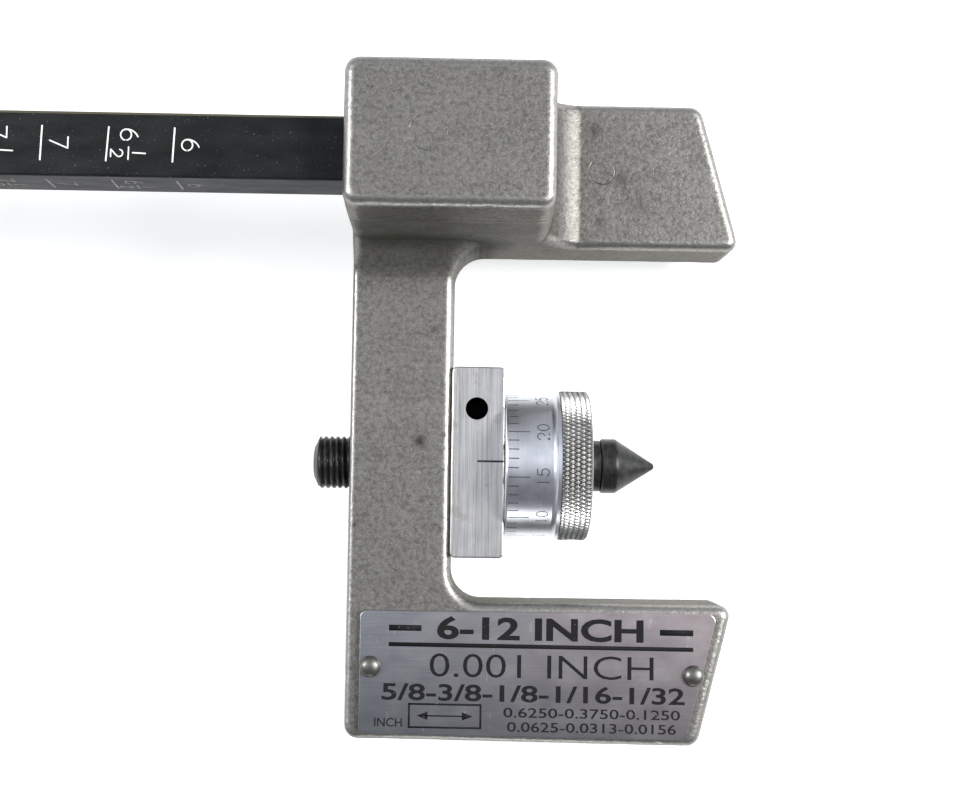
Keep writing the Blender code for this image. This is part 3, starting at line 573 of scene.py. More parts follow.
DIGITS = {  # strokes in a cell that is 1 high and 0.62 wide
    "0": [arc(0.31, 0.5, 0.31, 0.5, 90, 450)],
    "1": [[(0.31, 0), (0.31, 1)]],
    "2": [arc(0.31, 0.7, 0.3, 0.3, 170, -40) + [(0, 0)], [(0, 0), (0.62, 0)]],
    "3": [arc(0.3, 0.74, 0.27, 0.26, 160, -90), arc(0.3, 0.25, 0.31, 0.25, 90, -160)],
    "4": [[(0.45, 0), (0.45, 1)], [(0.45, 1), (0, 0.3)], [(0, 0.3), (0.62, 0.3)]],
    "5": [[(0.56, 1), (0.1, 1)], [(0.1, 1), (0.06, 0.56)], arc(0.3, 0.33, 0.31, 0.33, 135, -150)],
    "6": [arc(0.31, 0.3, 0.31, 0.3, 0, 360), arc(0.66, 0.3, 0.66, 0.7, 180, 112)],
    "7": [[(0, 1), (0.62, 1)], [(0.62, 1), (0.2, 0)]],
    "8": [arc(0.31, 0.76, 0.25, 0.24, 0, 360), arc(0.31, 0.26, 0.31, 0.26, 0, 360)],
    "9": [arc(0.31, 0.7, 0.31, 0.3, 0, 360), arc(-0.04, 0.7, 0.66, 0.7, 0, -68)],
}
DIGIT_WIDTH = 0.62
DIGIT_ADVANCE = 0.86


def stroke(shape, points, width, surface, lift=0.02, depth=0.06):
    """A closed ribbon with round ends along (u, v) points, laid on surface(u, v, height)."""
    points = [np.array(p, float) for p in points]
    half = width / 2
    stations = []
    for end, inner, sign in ((0, 1, -1), (-1, -2, 1)):
        way = points[end] - points[inner]
        way = way / np.linalg.norm(way)
        cap = [(points[end] + way * half * math.sin(a), half * math.cos(a))
               for a in np.radians((28, 55, 78))]
        stations.append(cap[::-1] if sign < 0 else cap)
    stations = stations[0] + [(point, half) for point in points] + stations[1]
    centres = np.array([centre for centre, _ in stations])
    ways = np.gradient(centres, axis=0)
    ways /= np.linalg.norm(ways, axis=1, keepdims=True)
    sides = np.stack([-ways[:, 1], ways[:, 0]], axis=1)
    vertices, faces = [], []
    for (centre, reach), side in zip(stations, sides):
        left, right = centre + side * reach, centre - side * reach
        vertices += [surface(*left, lift), surface(*right, lift)]
        vertices += [surface(*right, -depth), surface(*left, -depth)]
    last = 4 * (len(stations) - 1)
    for start in range(0, last, 4):
        for corner in range(4):
            after = (corner + 1) % 4
            faces.append((start + corner, start + after, start + 4 + after, start + 4 + corner))
    faces += [(3, 2, 1, 0), (last, last + 1, last + 2, last + 3)]
    shape.add(vertices, faces)


def number(shape, text, centre, height, up, width, surface, lift=0.02):
    """Stroked digits whose middle is at centre and whose tops point along up, in (u, v)."""
    up = np.array(up, float)
    right = np.array((up[1], -up[0]))
    length = (DIGIT_ADVANCE * (len(text) - 1) + DIGIT_WIDTH) * height
    for place, digit in enumerate(text):
        for line, points in enumerate(DIGITS[digit]):
            moved = []
            for x, y in points:
                across = (x + DIGIT_ADVANCE * place) * height - length / 2
                moved.append(np.array(centre) + right * across + up * (y - 0.5) * height)
            stroke(shape, moved, width, surface, lift + 0.003 * line)


def bar_top(u, v, height):
    return (u, v, BAR[1].z + height)


def bar_front(u, v, height):
    return (u, BAR[0].y - height, v)


def on_sleeve(u, v, height):
    """u is along the axis and v is the arc from straight up, towards +Y."""
    angle, radius = v / SLEEVE_RADIUS, SLEEVE_RADIUS + height
    return (u, radius * math.sin(angle), AXIS_Z + radius * math.cos(angle))


def lettering(shape, text, low, high, weight, z, thickness):
    """Printed characters fitted between two corners of the plate."""
    curve = bpy.data.curves.new("letters", "FONT")
    curve.body = text
    curve.resolution_u = 4
    curve.offset = weight
    curve.extrude = 0.5
    holder = bpy.data.objects.new("letters", curve)
    bpy.context.collection.objects.link(holder)
    mesh = bpy.data.meshes.new_from_object(
        holder.evaluated_get(bpy.context.evaluated_depsgraph_get())
    )
    flat = np.array([vertex.co for vertex in mesh.vertices])
    faces = [list(polygon.vertices) for polygon in mesh.polygons]
    bpy.data.objects.remove(holder)
    near, far = flat.min(axis=0), flat.max(axis=0)
    share = (flat - near) / (far - near)
    low, high = np.array((*low, z)), np.array((*high, z + thickness))
    shape.add(low + share * (high - low), faces)


# ---------------------------------------------------------------- materials


class Finish:
    """A Principled material whose nodes are added one by one, with its colour so far in tone.
    Sizes are millimetres."""

    def __init__(self, name, roughness, metallic, settings=None):
        self.material = bpy.data.materials.new(name)
        self.material.use_nodes = True
        self.tree = self.material.node_tree
        self.shader = self.tree.nodes["Principled BSDF"]
        settings = {"Roughness": roughness, "Metallic": metallic, **(settings or {})}
        for setting, value in settings.items():
            self.shader.inputs[setting].default_value = value
        self.place = self.add("ShaderNodeTexCoord").outputs["Object"]
        self.tone = self.normal = None

    def add(self, kind, inputs=None, **settings):
        node = self.tree.nodes.new(kind)
        for name, value in settings.items():
            setattr(node, name, value)
        for name, value in (inputs or {}).items():
            if isinstance(value, bpy.types.NodeSocket):
                self.tree.links.new(value, node.inputs[name])
            else:
                node.inputs[name].default_value = value
        return node

    def vector_maths(self, operation, a, b=None):
        inputs = {0: a} if b is None else {0: a, 1: b}
        return self.add("ShaderNodeVectorMath", inputs, operation=operation).outputs

    def centred(self, x, y, z):
        """The place relative to a point of the design frame."""
        return self.vector_maths("SUBTRACT", self.place, Vector((x, y, z)) * MM + ORIGIN)["Vector"]

    def split(self, place):
        return self.add("ShaderNodeSeparateXYZ", {0: place}).outputs

    def noise(self, size, detail=2.0, roughness=0.5):
        """Noise of one size, or of three sizes for grain that runs one way."""
        sizes = size if isinstance(size, tuple) else (size, size, size)
        place = self.vector_maths("MULTIPLY", self.place, [1 / (size * MM) for size in sizes])
        inputs = {"Vector": place["Vector"], "Scale": 1.0, "Detail": detail, "Roughness": roughness}
        return self.add("ShaderNodeTexNoise", inputs).outputs["Fac"]

    def spread(self, value, low, high, out_low=0.0, out_high=1.0):
        """value from low to high becomes out_low to out_high."""
        inputs = {"Value": value, "From Min": low, "From Max": high,
                  "To Min": out_low, "To Max": out_high}
        return self.add("ShaderNodeMapRange", inputs).outputs["Result"]

    def maths(self, operation, a, b=0.0):
        return self.add("ShaderNodeMath", {0: a, 1: b}, operation=operation).outputs["Value"]

    def mix(self, share, first, second):
        node = self.add("ShaderNodeMix", data_type="RGBA")
        for index, value in ((0, share), (6, first), (7, second)):
            socket = node.inputs[index]
            if isinstance(value, bpy.types.NodeSocket):
                self.tree.links.new(value, socket)
            else:
                socket.default_value = (*value, 1) if isinstance(value, tuple) else value
        return node.outputs[2]

    def ring(self, x, y, radius, width):
        """1 on a thin circle seen from above, 0 away from it, broken up a little."""
        flat = self.vector_maths("MULTIPLY", self.centred(x, y, 0), (1, 1, 0))["Vector"]
        away = self.vector_maths("LENGTH", flat)["Value"]
        off = self.maths("ABSOLUTE", self.maths("SUBTRACT", away, radius * MM))
        line = self.spread(off, 0, width * MM, 1, 0)
        return self.maths("MULTIPLY", line, self.spread(self.noise(3.0, 2), 0.42, 0.56))

    def over(self, share, colour):
        """Lays a colour over the tone."""
        self.tone = self.mix(share, self.tone, colour)

    def attribute(self, name):
        return self.add("ShaderNodeAttribute", attribute_name=name).outputs["Fac"]

    def bump(self, height, depth, strength=1.0):
        """Raises the surface by height times depth, on top of earlier bumps."""
        inputs = {"Height": height, "Distance": depth * MM, "Strength": strength}
        if self.normal:
            inputs["Normal"] = self.normal
        self.normal = self.add("ShaderNodeBump", inputs).outputs["Normal"]

    def done(self, roughness=None):
        links = self.tree.links
        links.new(self.tone, self.shader.inputs["Base Color"])
        if roughness:
            links.new(roughness, self.shader.inputs["Roughness"])
        if self.normal:
            links.new(self.normal, self.shader.inputs["Normal"])
        return self.material


def cast_aluminium():
    """Tumbled sand casting: fine grain, cloudy tone, bright worn edges, darker in hollows, painted
    shade.
    """
    finish = Finish("cast_aluminium", 0.5, 0.9, {
        "Specular Tint": (0.5, 0.49, 0.46, 1), "Specular IOR Level": 0.25})
    grain = finish.noise(0.34, 3, 0.6)
    peel = finish.noise(0.95, 2, 0.5)
    cloud = finish.noise(7.0, 4, 0.6)
    specks = finish.noise(0.62, 2, 0.6)
    finish.tone = finish.mix(finish.spread(cloud, 0.3, 0.7), (0.158, 0.153, 0.141),
                             (0.212, 0.206, 0.192))
    finish.over(finish.spread(grain, 0.4, 0.7, 0, 0.85), (0.3, 0.292, 0.275))
    finish.over(finish.spread(peel, 0.3, 0.55, 0.55, 0), (0.09, 0.086, 0.076))
    finish.over(finish.spread(specks, 0.66, 0.76, 0, 0.75), (0.05, 0.045, 0.036))
    rubbed = finish.maths("MULTIPLY", finish.attribute("worn"),
                          finish.spread(specks, 0.3, 0.6, 1.5, 0.8))
    finish.over(finish.spread(rubbed, 0.3, 1.0, 0, 0.7), (0.44, 0.43, 0.41))
    finish.over(finish.spread(finish.attribute("hollow"), 0.3, 0.9, 0, 0.4), (0.1, 0.092, 0.075))
    # painted shade: sheltered walls and walls facing -Y get a near-black tone laid over them
    painted_shade = finish.maths("MULTIPLY", finish.attribute("painted_shade"),
                         finish.spread(cloud, 0.3, 0.7, 1.15, 0.85))
    finish.over(finish.spread(painted_shade, 0.02, 0.5, 0, 0.93), (0.066, 0.064, 0.05))
    finish.over(finish.attribute("stain"), (0.035, 0.03, 0.022))
    finish.bump(grain, 0.06, 0.6)
    finish.bump(peel, 0.16, 0.5)
    for x, y, radius in CAST_CIRCLES:
        circle = finish.ring(x, y, radius, 0.2)
        finish.over(finish.maths("MULTIPLY", circle, 0.55), (0.04, 0.038, 0.032))
        finish.bump(circle, -0.08, 0.7)
    # the painted shade mask also makes the surface less metallic and rougher
    shaded = finish.spread(painted_shade, 0.05, 0.45)
    clean = finish.spread(rubbed, 0.2, 0.9, 0.5, 0.36)
    finish.tree.links.new(finish.spread(shaded, 0, 1, 0.9, 0.2), finish.shader.inputs["Metallic"])
    return finish.done(finish.maths("MAXIMUM", clean, finish.spread(shaded, 0, 1, 0.3, 0.85)))


def black_bar():
    """Black oxide on drawn bar: fine lengthwise lines, rubbed corners and a few scratches."""
    finish = Finish("black_bar", 0.34, 0.5, {
        "Specular Tint": (0.5, 0.5, 0.52, 1), "Specular IOR Level": 0.15})
    drawn = finish.noise((30, 0.18, 0.18), 3)
    cloud = finish.noise((9, 3, 3), 3)
    scratches = finish.noise((14, 0.5, 0.5), 5, 0.7)
    specks = finish.noise(0.42, 2, 0.6)
    worn = finish.spread(finish.noise((16, 6, 6), 3), 0.42, 0.66, 0.0, 0.06)
    finish.tone = finish.mix(finish.spread(cloud, 0.3, 0.7), (0.0165, 0.0175, 0.0185),
                             (0.0245, 0.0265, 0.0275))
    finish.over(finish.spread(scratches, 0.68, 0.8, 0, 0.4), (0.1, 0.1, 0.105))
    speckled = finish.spread(finish.maths("ADD", specks, worn), 0.7, 0.77)
    finish.over(speckled, (0.16, 0.165, 0.18))
    place = finish.split(finish.centred(0, BAR_Y, BAR_Z))
    corner = finish.maths("ADD", place["Y"], place["Z"])
    rim = finish.spread(corner, (2 * BAR_HALF - 0.62) * MM, (2 * BAR_HALF - 0.5) * MM)
    finish.over(rim, (0.13, 0.12, 0.085))
    finish.bump(drawn, 0.012, 0.6)
    return finish.done(finish.spread(cloud, 0.3, 0.7, 0.3, 0.42))


def machined_aluminium():
    """Milled and belt-finished block, its lines running along Y, with old stains."""
    finish = Finish("machined_aluminium", 0.34, 0.95)
    lines = finish.noise((0.11, 14, 0.11), 4, 0.65)
    broad = finish.noise((0.9, 26, 0.9), 3)
    cloud = finish.noise(4.0, 4, 0.6)
    finish.tone = finish.mix(finish.spread(broad, 0.35, 0.65), (0.42, 0.41, 0.392),
                             (0.6, 0.592, 0.585))
    finish.over(finish.spread(lines, 0.42, 0.68, 0, 0.8), (0.8, 0.8, 0.8))
    finish.over(finish.spread(lines, 0.45, 0.32, 0, 0.6), (0.22, 0.205, 0.18))
    finish.over(finish.spread(cloud, 0.58, 0.72, 0, 0.5), (0.24, 0.22, 0.18))
    # painted shade: the blind hole's walls are painted near black
    finish.over(finish.spread(finish.attribute("hole_shade"), 0, 0.1), (0.004, 0.004, 0.004))
    finish.bump(lines, 0.03, 0.6)
    finish.bump(broad, 0.03, 0.4)
    return finish.done(finish.spread(cloud, 0.3, 0.7, 0.28, 0.42))


def satin_chrome():
    """Satin plated sleeve with very fine turned lines round it."""
    finish = Finish("satin_chrome", 0.24, 1.0)
    lines = finish.noise((0.07, 8, 8), 3, 0.6)
    cloud = finish.noise(3.0, 4, 0.6)
    finish.tone = finish.mix(finish.spread(cloud, 0.3, 0.7), (0.74, 0.765, 0.83),
                             (0.82, 0.84, 0.89))
    turned_lines = finish.noise((0.16, 9, 9), 4, 0.7)
    finish.over(finish.spread(turned_lines, 0.5, 0.8, 0, 0.5), (0.5, 0.49, 0.47))
    finish.bump(lines, 0.006, 0.5)
    return finish.done(finish.spread(cloud, 0.3, 0.7, 0.3, 0.36))


def knurled_steel():
    """Satin knurl, dark in the grooves where the attribute says so, bright on the crests."""
    finish = Finish("knurled_steel", 0.32, 1.0)
    cloud = finish.noise(2.5, 4, 0.6)
    finish.tone = finish.mix(finish.spread(cloud, 0.3, 0.7), (0.62, 0.615, 0.6),
                             (0.78, 0.775, 0.755))
    groove = finish.spread(finish.attribute("groove"), 0.22, 0.95, 0, 0.86)
    finish.over(groove, (0.09, 0.086, 0.078))
    finish.bump(finish.noise(0.15, 3, 0.6), 0.01, 0.5)
    return finish.done(finish.spread(cloud, 0.3, 0.7, 0.26, 0.38))


def black_oxide():
    """Blackened steel with round grinding lines and pale rubbed streaks."""
    finish = Finish("black_oxide", 0.42, 0.75)
    lines = finish.noise((0.09, 5, 5), 4, 0.65)
    cloud = finish.noise(1.6, 4, 0.65)
    finish.tone = finish.mix(finish.spread(cloud, 0.3, 0.7), (0.026, 0.0265, 0.026),
                             (0.06, 0.06, 0.058))
    finish.over(finish.spread(lines, 0.56, 0.76, 0, 0.6), (0.16, 0.155, 0.145))
    finish.over(finish.spread(finish.attribute("groove"), 0.2, 1.0, 0, 0.7), (0.008, 0.0075, 0.006))
    finish.bump(lines, 0.012, 0.6)
    return finish.done(finish.spread(cloud, 0.3, 0.7, 0.3, 0.44))


def printed_plate():
    """Thin brushed aluminium, bluish at its left end and warmer at its right, scratched."""
    finish = Finish("printed_plate", 0.34, 0.9)
    brushed = finish.noise((16, 0.07, 0.07), 4, 0.65)
    cloud = finish.noise((8, 5, 5), 4, 0.6)
    low, high = LABEL
    place = finish.split(finish.centred(low.x, low.y, 0))
    along = finish.spread(place["X"], 0, (high.x - low.x) * MM)
    finish.tone = finish.mix(along, (0.27, 0.28, 0.315), (0.41, 0.33, 0.34))
    finish.over(finish.spread(cloud, 0.35, 0.7, 0, 0.35), (0.42, 0.41, 0.41))
    finish.over(finish.spread(brushed, 0.4, 0.72, 0, 0.45), (0.52, 0.515, 0.515))
    # painted shade: the plate darkens towards its lower edge
    shade = finish.spread(place["Y"], 0, (high.y - low.y) * MM, 0.6, 0)
    finish.over(shade, (0.09, 0.1, 0.11))
    scratches = finish.noise((1.2, 9, 1), 6, 0.75)
    finish.over(finish.spread(scratches, 0.64, 0.7, 0, 0.7), (0.75, 0.74, 0.72))
    finish.bump(brushed, 0.012, 0.6)
    return finish.done(finish.spread(cloud, 0.3, 0.7, 0.3, 0.42))


def worn_ink(name, ink, bare, size, low, high, roughness):
    """Ink or paint that has rubbed off in small patches."""
    finish = Finish(name, roughness, 0.0, {"Specular IOR Level": 0.2})
    patches = finish.noise(size, 5, 0.7)
    finish.tone = finish.mix(finish.spread(patches, low, high), ink, bare)
    finish.bump(finish.noise(0.2, 3), 0.01, 0.5)
    return finish.done()


def steel(name, dark, light, roughness, metallic):
    """Small steel hardware with a mottled finish."""
    finish = Finish(name, roughness, metallic)
    cloud = finish.noise(1.2, 5, 0.65)
    fine = finish.noise(0.2, 3, 0.6)
    finish.tone = finish.mix(finish.spread(cloud, 0.3, 0.7), dark, light)
    finish.bump(fine, 0.015, 0.6)
    return finish.done(finish.spread(cloud, 0.3, 0.7, roughness + 0.08, roughness - 0.06))


def pale_floor():
    """A white light table: almost even, with a trace of fibre."""
    finish = Finish("paper_floor", 0.9, 0.0, {
        "Emission Color": (0.99, 1, 1, 1), "Emission Strength": FLOOR_GLOW})
    fibre = finish.noise(0.6, 4)
    finish.tone = finish.mix(finish.noise(60, 3), (0.62, 0.625, 0.635), (0.64, 0.64, 0.64))
    finish.bump(fibre, 0.01, 0.3)
    return finish.done()


FINISHES = {
    "cast_aluminium": cast_aluminium(),
    "black_bar": black_bar(),
    "machined_aluminium": machined_aluminium(),
    "satin_chrome": satin_chrome(),
    "knurled_steel": knurled_steel(),
    "black_oxide": black_oxide(),
    "printed_plate": printed_plate(),
    "rivet_steel": steel("rivet_steel", (0.12, 0.117, 0.105), (0.24, 0.235, 0.22), 0.4, 0.95),
    "screw_steel": steel("screw_steel", (0.035, 0.035, 0.036), (0.085, 0.085, 0.087), 0.4, 0.85),
    "brass": steel("brass", (0.42, 0.28, 0.1), (0.66, 0.47, 0.2), 0.34, 1.0),
}
FADED_PAINT = worn_ink("faded_paint", (0.42, 0.42, 0.38), (0.18, 0.18, 0.165), 0.9, 0.5, 0.62, 0.6)
WHITE_PAINT = worn_ink("white_paint", (0.82, 0.82, 0.78), (0.3, 0.3, 0.3), 0.5, 0.6, 0.72, 0.6)
DARK_FILL = worn_ink("engraving_fill", (0.03, 0.03, 0.032), (0.3, 0.3, 0.3), 0.4, 0.55, 0.75, 0.5)
BLACK_INK = worn_ink("black_ink", (0.008, 0.008, 0.009), (0.4, 0.4, 0.4), 0.9, 0.66, 0.72, 0.7)


# ---------------------------------------------------------------- pieces


def make_frame_casting():
    outline = rounded_outline([
        (0, ARM_BOTTOM_Y[0], CORNER_RADIUS),
        (LOWER_END[1], ARM_BOTTOM_Y[1], CORNER_RADIUS),
        (LOWER_END[0], OPENING_Y[0], NOSE_RADIUS),
        (WEB_WIDTH, OPENING_Y[0], OPENING_RADIUS),
        (WEB_WIDTH, OPENING_Y[1], OPENING_RADIUS),
        (UPPER_END[1], OPENING_Y[1], NOSE_RADIUS),
        (UPPER_END[0], CASTING[1].y, CORNER_RADIUS),
        (0, CASTING[1].y, CORNER_RADIUS),
    ])
    cuts = [
        square_pocket(-5, BAR_BURIED + GAP),
        hole("X", (0, AXIS_Z), SPINDLE_BORE, -5, WEB_WIDTH + 5),
    ]
    cuts += [hole("Y", (x, BAR_Z), SET_SCREW_BORE, BAR_Y, CASTING[1].y + 5)
             for x in BAR_SET_SCREW_X]
    cuts += [hole("X", place, CAP_SCREW_BORE, -5, 5) for place in NUT_SCREW_YZ]
    field = casting_field(outline, PLATE_BACK, 0, BLOCK_WIDTH, cuts)
    cast_piece("frame_casting", field, FRAME_STAINS, 7)


def make_jaw_casting():
    left, right = JAW[0].x, JAW[1].x
    leg_right, foot_y = left + 22, JAW[0].y
    outline = rounded_outline([
        (left, foot_y, OPENING_RADIUS),
        (leg_right, foot_y, OPENING_RADIUS),
        (leg_right, OPENING_Y[1], OPENING_RADIUS),
        (right, OPENING_Y[1], CORNER_RADIUS),
        (right, JAW[1].y, CORNER_RADIUS),
        (left, JAW[1].y, CORNER_RADIUS),
    ])
    middle = (left + right) / 2
    cuts = [
        square_pocket(left - 5, right + 5),
        hole("X", (0, AXIS_Z), SPINDLE_BORE, left - 5, leg_right + 5),
        hole("Z", (left + 11, 0), SET_SCREW_BORE, AXIS_Z, PLATE_FACE + 5),
        hole("Y", (middle, BAR_Z), SET_SCREW_BORE, BAR_Y, JAW[1].y + 5),
    ]
    field = casting_field(outline, JAW[0].z, left, right, cuts)
    stains = ((left + 8, 20, 0.6, 0.6), (left + 15, 33, 0.5, 0.6))
    cast_piece("jaw_casting", field, stains, 11)


def make_bar():
    bm = box_mesh(*BAR)
    bevel(bm, bm.edges[:], 0.45, 3)
    bar = from_bmesh("bar_fine", bm, FINISHES["black_bar"], FLAT)
    dimples = Shape()
    profile = [(-1.6, 0), (-1.6, 1.0), (0.3, 2.9), (0.3, 0)]
    for step in range(MARKS):
        x = FIRST_MARK_X - step * INCH / 2 - BLOCK_WIDTH / 2
        dimples.add(*turned(profile, (x, BAR[1].y, BAR_Z), "Y", 40))
    carve(bar, [(dimples.vertices, dimples.faces)], FLAT)
    stand_for(bar, "bar")


def make_bar_marks():
    """A line each half inch on the top and front faces, with its inches beside it."""
    rng = random.Random(3)
    faces = (("bar_marks", bar_top, BAR_Y, WHITE_PAINT),
             ("bar_front_marks", bar_front, BAR_Z, FADED_PAINT))
    aside = 1.8  # how far a half inch mark's number and its half stand from the middle
    for name, surface, middle, paint in faces:
        shape = Shape()
        for step in range(MARKS):
            x = FIRST_MARK_X - step * INCH / 2
            inches, half = divmod(step, 2)
            slant, nudge = rng.uniform(0.1, 0.26), rng.uniform(-0.15, 0.15)
            ends = [(x + slant, middle + 3.3), (x - slant, middle - 3.3)]
            stroke(shape, ends, rng.uniform(0.3, 0.36), surface)
            centre = (x + (4.2 if half else 3.3) + nudge, middle + nudge + (aside if half else 0))
            number(shape, str(FIRST_MARK_INCHES + inches), centre, 3.5, (1, 0), 0.28, surface)
            if half:
                low = middle - aside + nudge
                stroke(shape, [(x + 4.9, low + 0.1), (x + 7.3, low)], 0.28, surface)
                stroke(shape, [(x + 4.1, low + 1.2), (x + 4.05, low - 1.2)], 0.26, surface)
                number(shape, "2", (x + 1.85, low), 2.3, (1, 0), 0.27, surface)
        marks = add_object(name, shape.vertices, shape.faces, paint)
        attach(marks, BODY["bar"])


def thread(along, angle, radius, pitch, depth):
    """The radius of a 60 degree right-hand thread at a place along and round a rod."""
    phase = (along / pitch - angle / math.tau) % 1.0
    flank = np.clip(1.25 - 2.5 * abs(phase - 0.5), 0, 1)
    return radius - depth * (1 - flank)


def between(start, end, radius_at):
    """A limit that only holds from start to end."""
    return lambda along, angle: np.where((along > start) & (along < end),
                                         radius_at(along, angle), OPEN)


def diamond_limit(start, end, radius, around, lengthwise, depth):
    """The radius of a diamond knurl: two families of grooves that cross."""

    def radius_at(along, angle):
        turn = angle / math.tau * around
        shift = (along - start) / (end - start) * lengthwise
        rising = abs(2 * ((turn + shift) % 1.0) - 1)
        falling = abs(2 * ((turn - shift) % 1.0) - 1)
        raised = np.minimum(np.minimum(rising, falling) * 1.5, 1)
        return radius - depth * (1 - raised)

    return between(start, end, radius_at)


def straight_limit(start, end, radius, around, depth):
    """The radius of a straight knurl."""

    def radius_at(along, angle):
        raised = np.minimum(abs(2 * ((angle / math.tau * around) % 1.0) - 1) * 1.6, 1)
        return radius - depth * (1 - raised)

    return between(start, end, radius_at)


def mark_grooves(obj, axis_y, axis_z, radius, depth, axis="X"):
    """Writes how far each vertex lies under the radius, for the material, which darkens the
    grooves.
    """
    places = places_of(obj)
    across = places[:, 1] if axis == "X" else places[:, 0]
    away = np.hypot(across - axis_y, places[:, 2] - axis_z)
    write_attribute(obj, "groove",
                    np.clip((radius - away) / depth, 0, 1) * (away > radius - 1.2 * depth))


def make_spindle():
    start, end = SPINDLE[0].x, SPINDLE[1].x
    knob_end = KNOB[1].x
    stem = 2.8
    crown = [(start + 0.35 - 0.35 * math.cos(a), 3.6 * math.sin(a)) for a in
             np.linspace(0, math.pi / 2, 6)]
    profile = crown + [(start + 1.3, SPINDLE_RADIUS), (knob_end - 0.5, SPINDLE_RADIUS)]
    profile = finer(profile, 0.09)
    profile += [(knob_end, SHANK_RADIUS + 0.05), (knob_end + 0.1, SHANK_RADIUS)]
    profile += [(end - 0.25, SHANK_RADIUS), (end, SHANK_RADIUS - 0.25), (end, stem)]
    profile += [(end - 9, stem), (end - 9, 0)]
    threaded = between(start, knob_end - 1, lambda along, angle: thread(
        along, angle, SPINDLE_RADIUS, THREAD_PITCH, THREAD_DEPTH))
    vertices, faces = turned(profile, (0, 0, AXIS_Z), "X", 96, threaded)
    spindle = add_object("spindle_fine", vertices, faces, FINISHES["black_oxide"], 40)
    mark_grooves(spindle, 0, AXIS_Z, SPINDLE_RADIUS, THREAD_DEPTH)
    low, high = span("point_retaining_pin")
    middle = (low + high) / 2
    reach, width = (high.z - low.z) / 2 + 0.6, (high.x - low.x) / 2 + 0.3
    carve(spindle, [rod(-reach, reach, width, middle, "Z", 24)])
    stand_for(spindle, "spindle")
    profile = chamfered(-reach + 0.6, reach - 0.6, width - 0.3, 0.2)
    turned_piece("point_retaining_pin", profile, middle, "Z", 32)


def cone_profile(tip_x, way, radius, tip_radius=0.85, steps=8):
    """A cone whose rounded tip is at tip_x, from its shoulder to its tip."""
    centre = tip_x - way * tip_radius
    apex = centre + way * tip_radius / math.sin(CONE_HALF_ANGLE)
    shoulder = apex - way * radius / math.tan(CONE_HALF_ANGLE)
    points = [(shoulder - way * 0.12, radius), (shoulder + way * 0.08, radius - 0.09)]
    for step in range(steps + 1):
        angle = (math.pi / 2 - CONE_HALF_ANGLE) * (1 - step / steps)
        points.append((centre + way * tip_radius * math.cos(angle), tip_radius * math.sin(angle)))
    points[-1] = (tip_x, 0)
    return points


def make_cone_point():
    start, radius = SPINDLE[1].x + 0.06, (CONE[1].y - CONE[0].y) / 2
    stem, groove = 2.5, 1.4
    pin = span("point_retaining_pin")
    low, high = pin[0].x - GAP, pin[1].x + GAP
    profile = [(CONE[0].x, 0), (CONE[0].x, stem - 0.3), (CONE[0].x + 0.3, stem), (low, stem)]
    profile += [(low, groove), (high, groove), (high, stem), (start, stem)]
    profile += [(start, radius - 0.3), (start + 0.3, radius)]
    profile += cone_profile(CONE[1].x, 1, radius)
    turned_piece("cone_point", finer(profile, 0.6), (0, 0, AXIS_Z), "X", 128)


def make_knob():
    start, end = SLEEVE[1].x + GAP, KNOB[1].x
    inner, edge = SPINDLE_RADIUS + GAP, 0.75
    profile = [(KNOB[0].x, inner), (KNOB[0].x, HUB_RADIUS), (start, HUB_RADIUS),
               (start, KNURL_RADIUS - edge)]
    rim = [(start, KNURL_RADIUS - edge), (start, KNURL_RADIUS - 0.25), (start + 0.25, KNURL_RADIUS),
           (end - edge * 0.7, KNURL_RADIUS), (end, KNURL_RADIUS - edge * 0.7)]
    profile += finer(rim, 0.11)[1:]
    profile += [(end, inner + 3.2), (end - 0.25, inner + 2.9), (end - 0.25, inner + 0.3),
                (end, inner)]
    knurl = diamond_limit(start - 0.2, end - 0.28, KNURL_RADIUS, KNURLS_ROUND, 2.8, KNURL_DEPTH)
    vertices, faces = turned(profile, (0, 0, AXIS_Z), "X", 10 * KNURLS_ROUND, knurl)
    knob = add_object("thimble_knob_fine", vertices, faces, FINISHES["knurled_steel"], 60)
    mark_grooves(knob, 0, AXIS_Z, KNURL_RADIUS, KNURL_DEPTH)
    return knob


def make_sleeve():
    low, high = SLEEVE[0].x, SLEEVE[1].x
    radius, outer = SLEEVE_RADIUS, KNURL_RADIUS - 0.1
    flare = high - 1.8
    profile = [(low, HUB_RADIUS + GAP), (low, radius - 0.5), (low + 0.12, radius - 0.15),
               (low + 0.4, radius), (low + 0.55, radius), (high - 1.95, radius), (flare, radius)]
    profile += [(flare + 1.2 * s, radius + (outer - radius) * s * s)
                for s in (0.15, 0.3, 0.45, 0.6, 0.75, 0.88, 1)]
    profile += [(high + 0.15, outer), (high + 0.15, HUB_RADIUS + GAP)]
    vertices, faces = turned(profile, (0, 0, AXIS_Z), "X", 256)
    return add_object("graduated_sleeve_fine", vertices, faces, FINISHES["satin_chrome"])


def make_thimble():
    """The knob and the sleeve, each with a hole for its set screw."""
    for node, screw, piece, depth in (("thimble_knob", "thimble_set_screw", make_knob(), 4),
                                      ("graduated_sleeve", "sleeve_set_screw", make_sleeve(), 1)):
        low, high = span(screw)
        origin = ((low.x + high.x) / 2, 0, AXIS_Z)
        carve(piece, [rod(HUB_RADIUS - depth, KNURL_RADIUS + 2, 1.8, origin, "-Y", 40)])
        stand_for(piece, node)


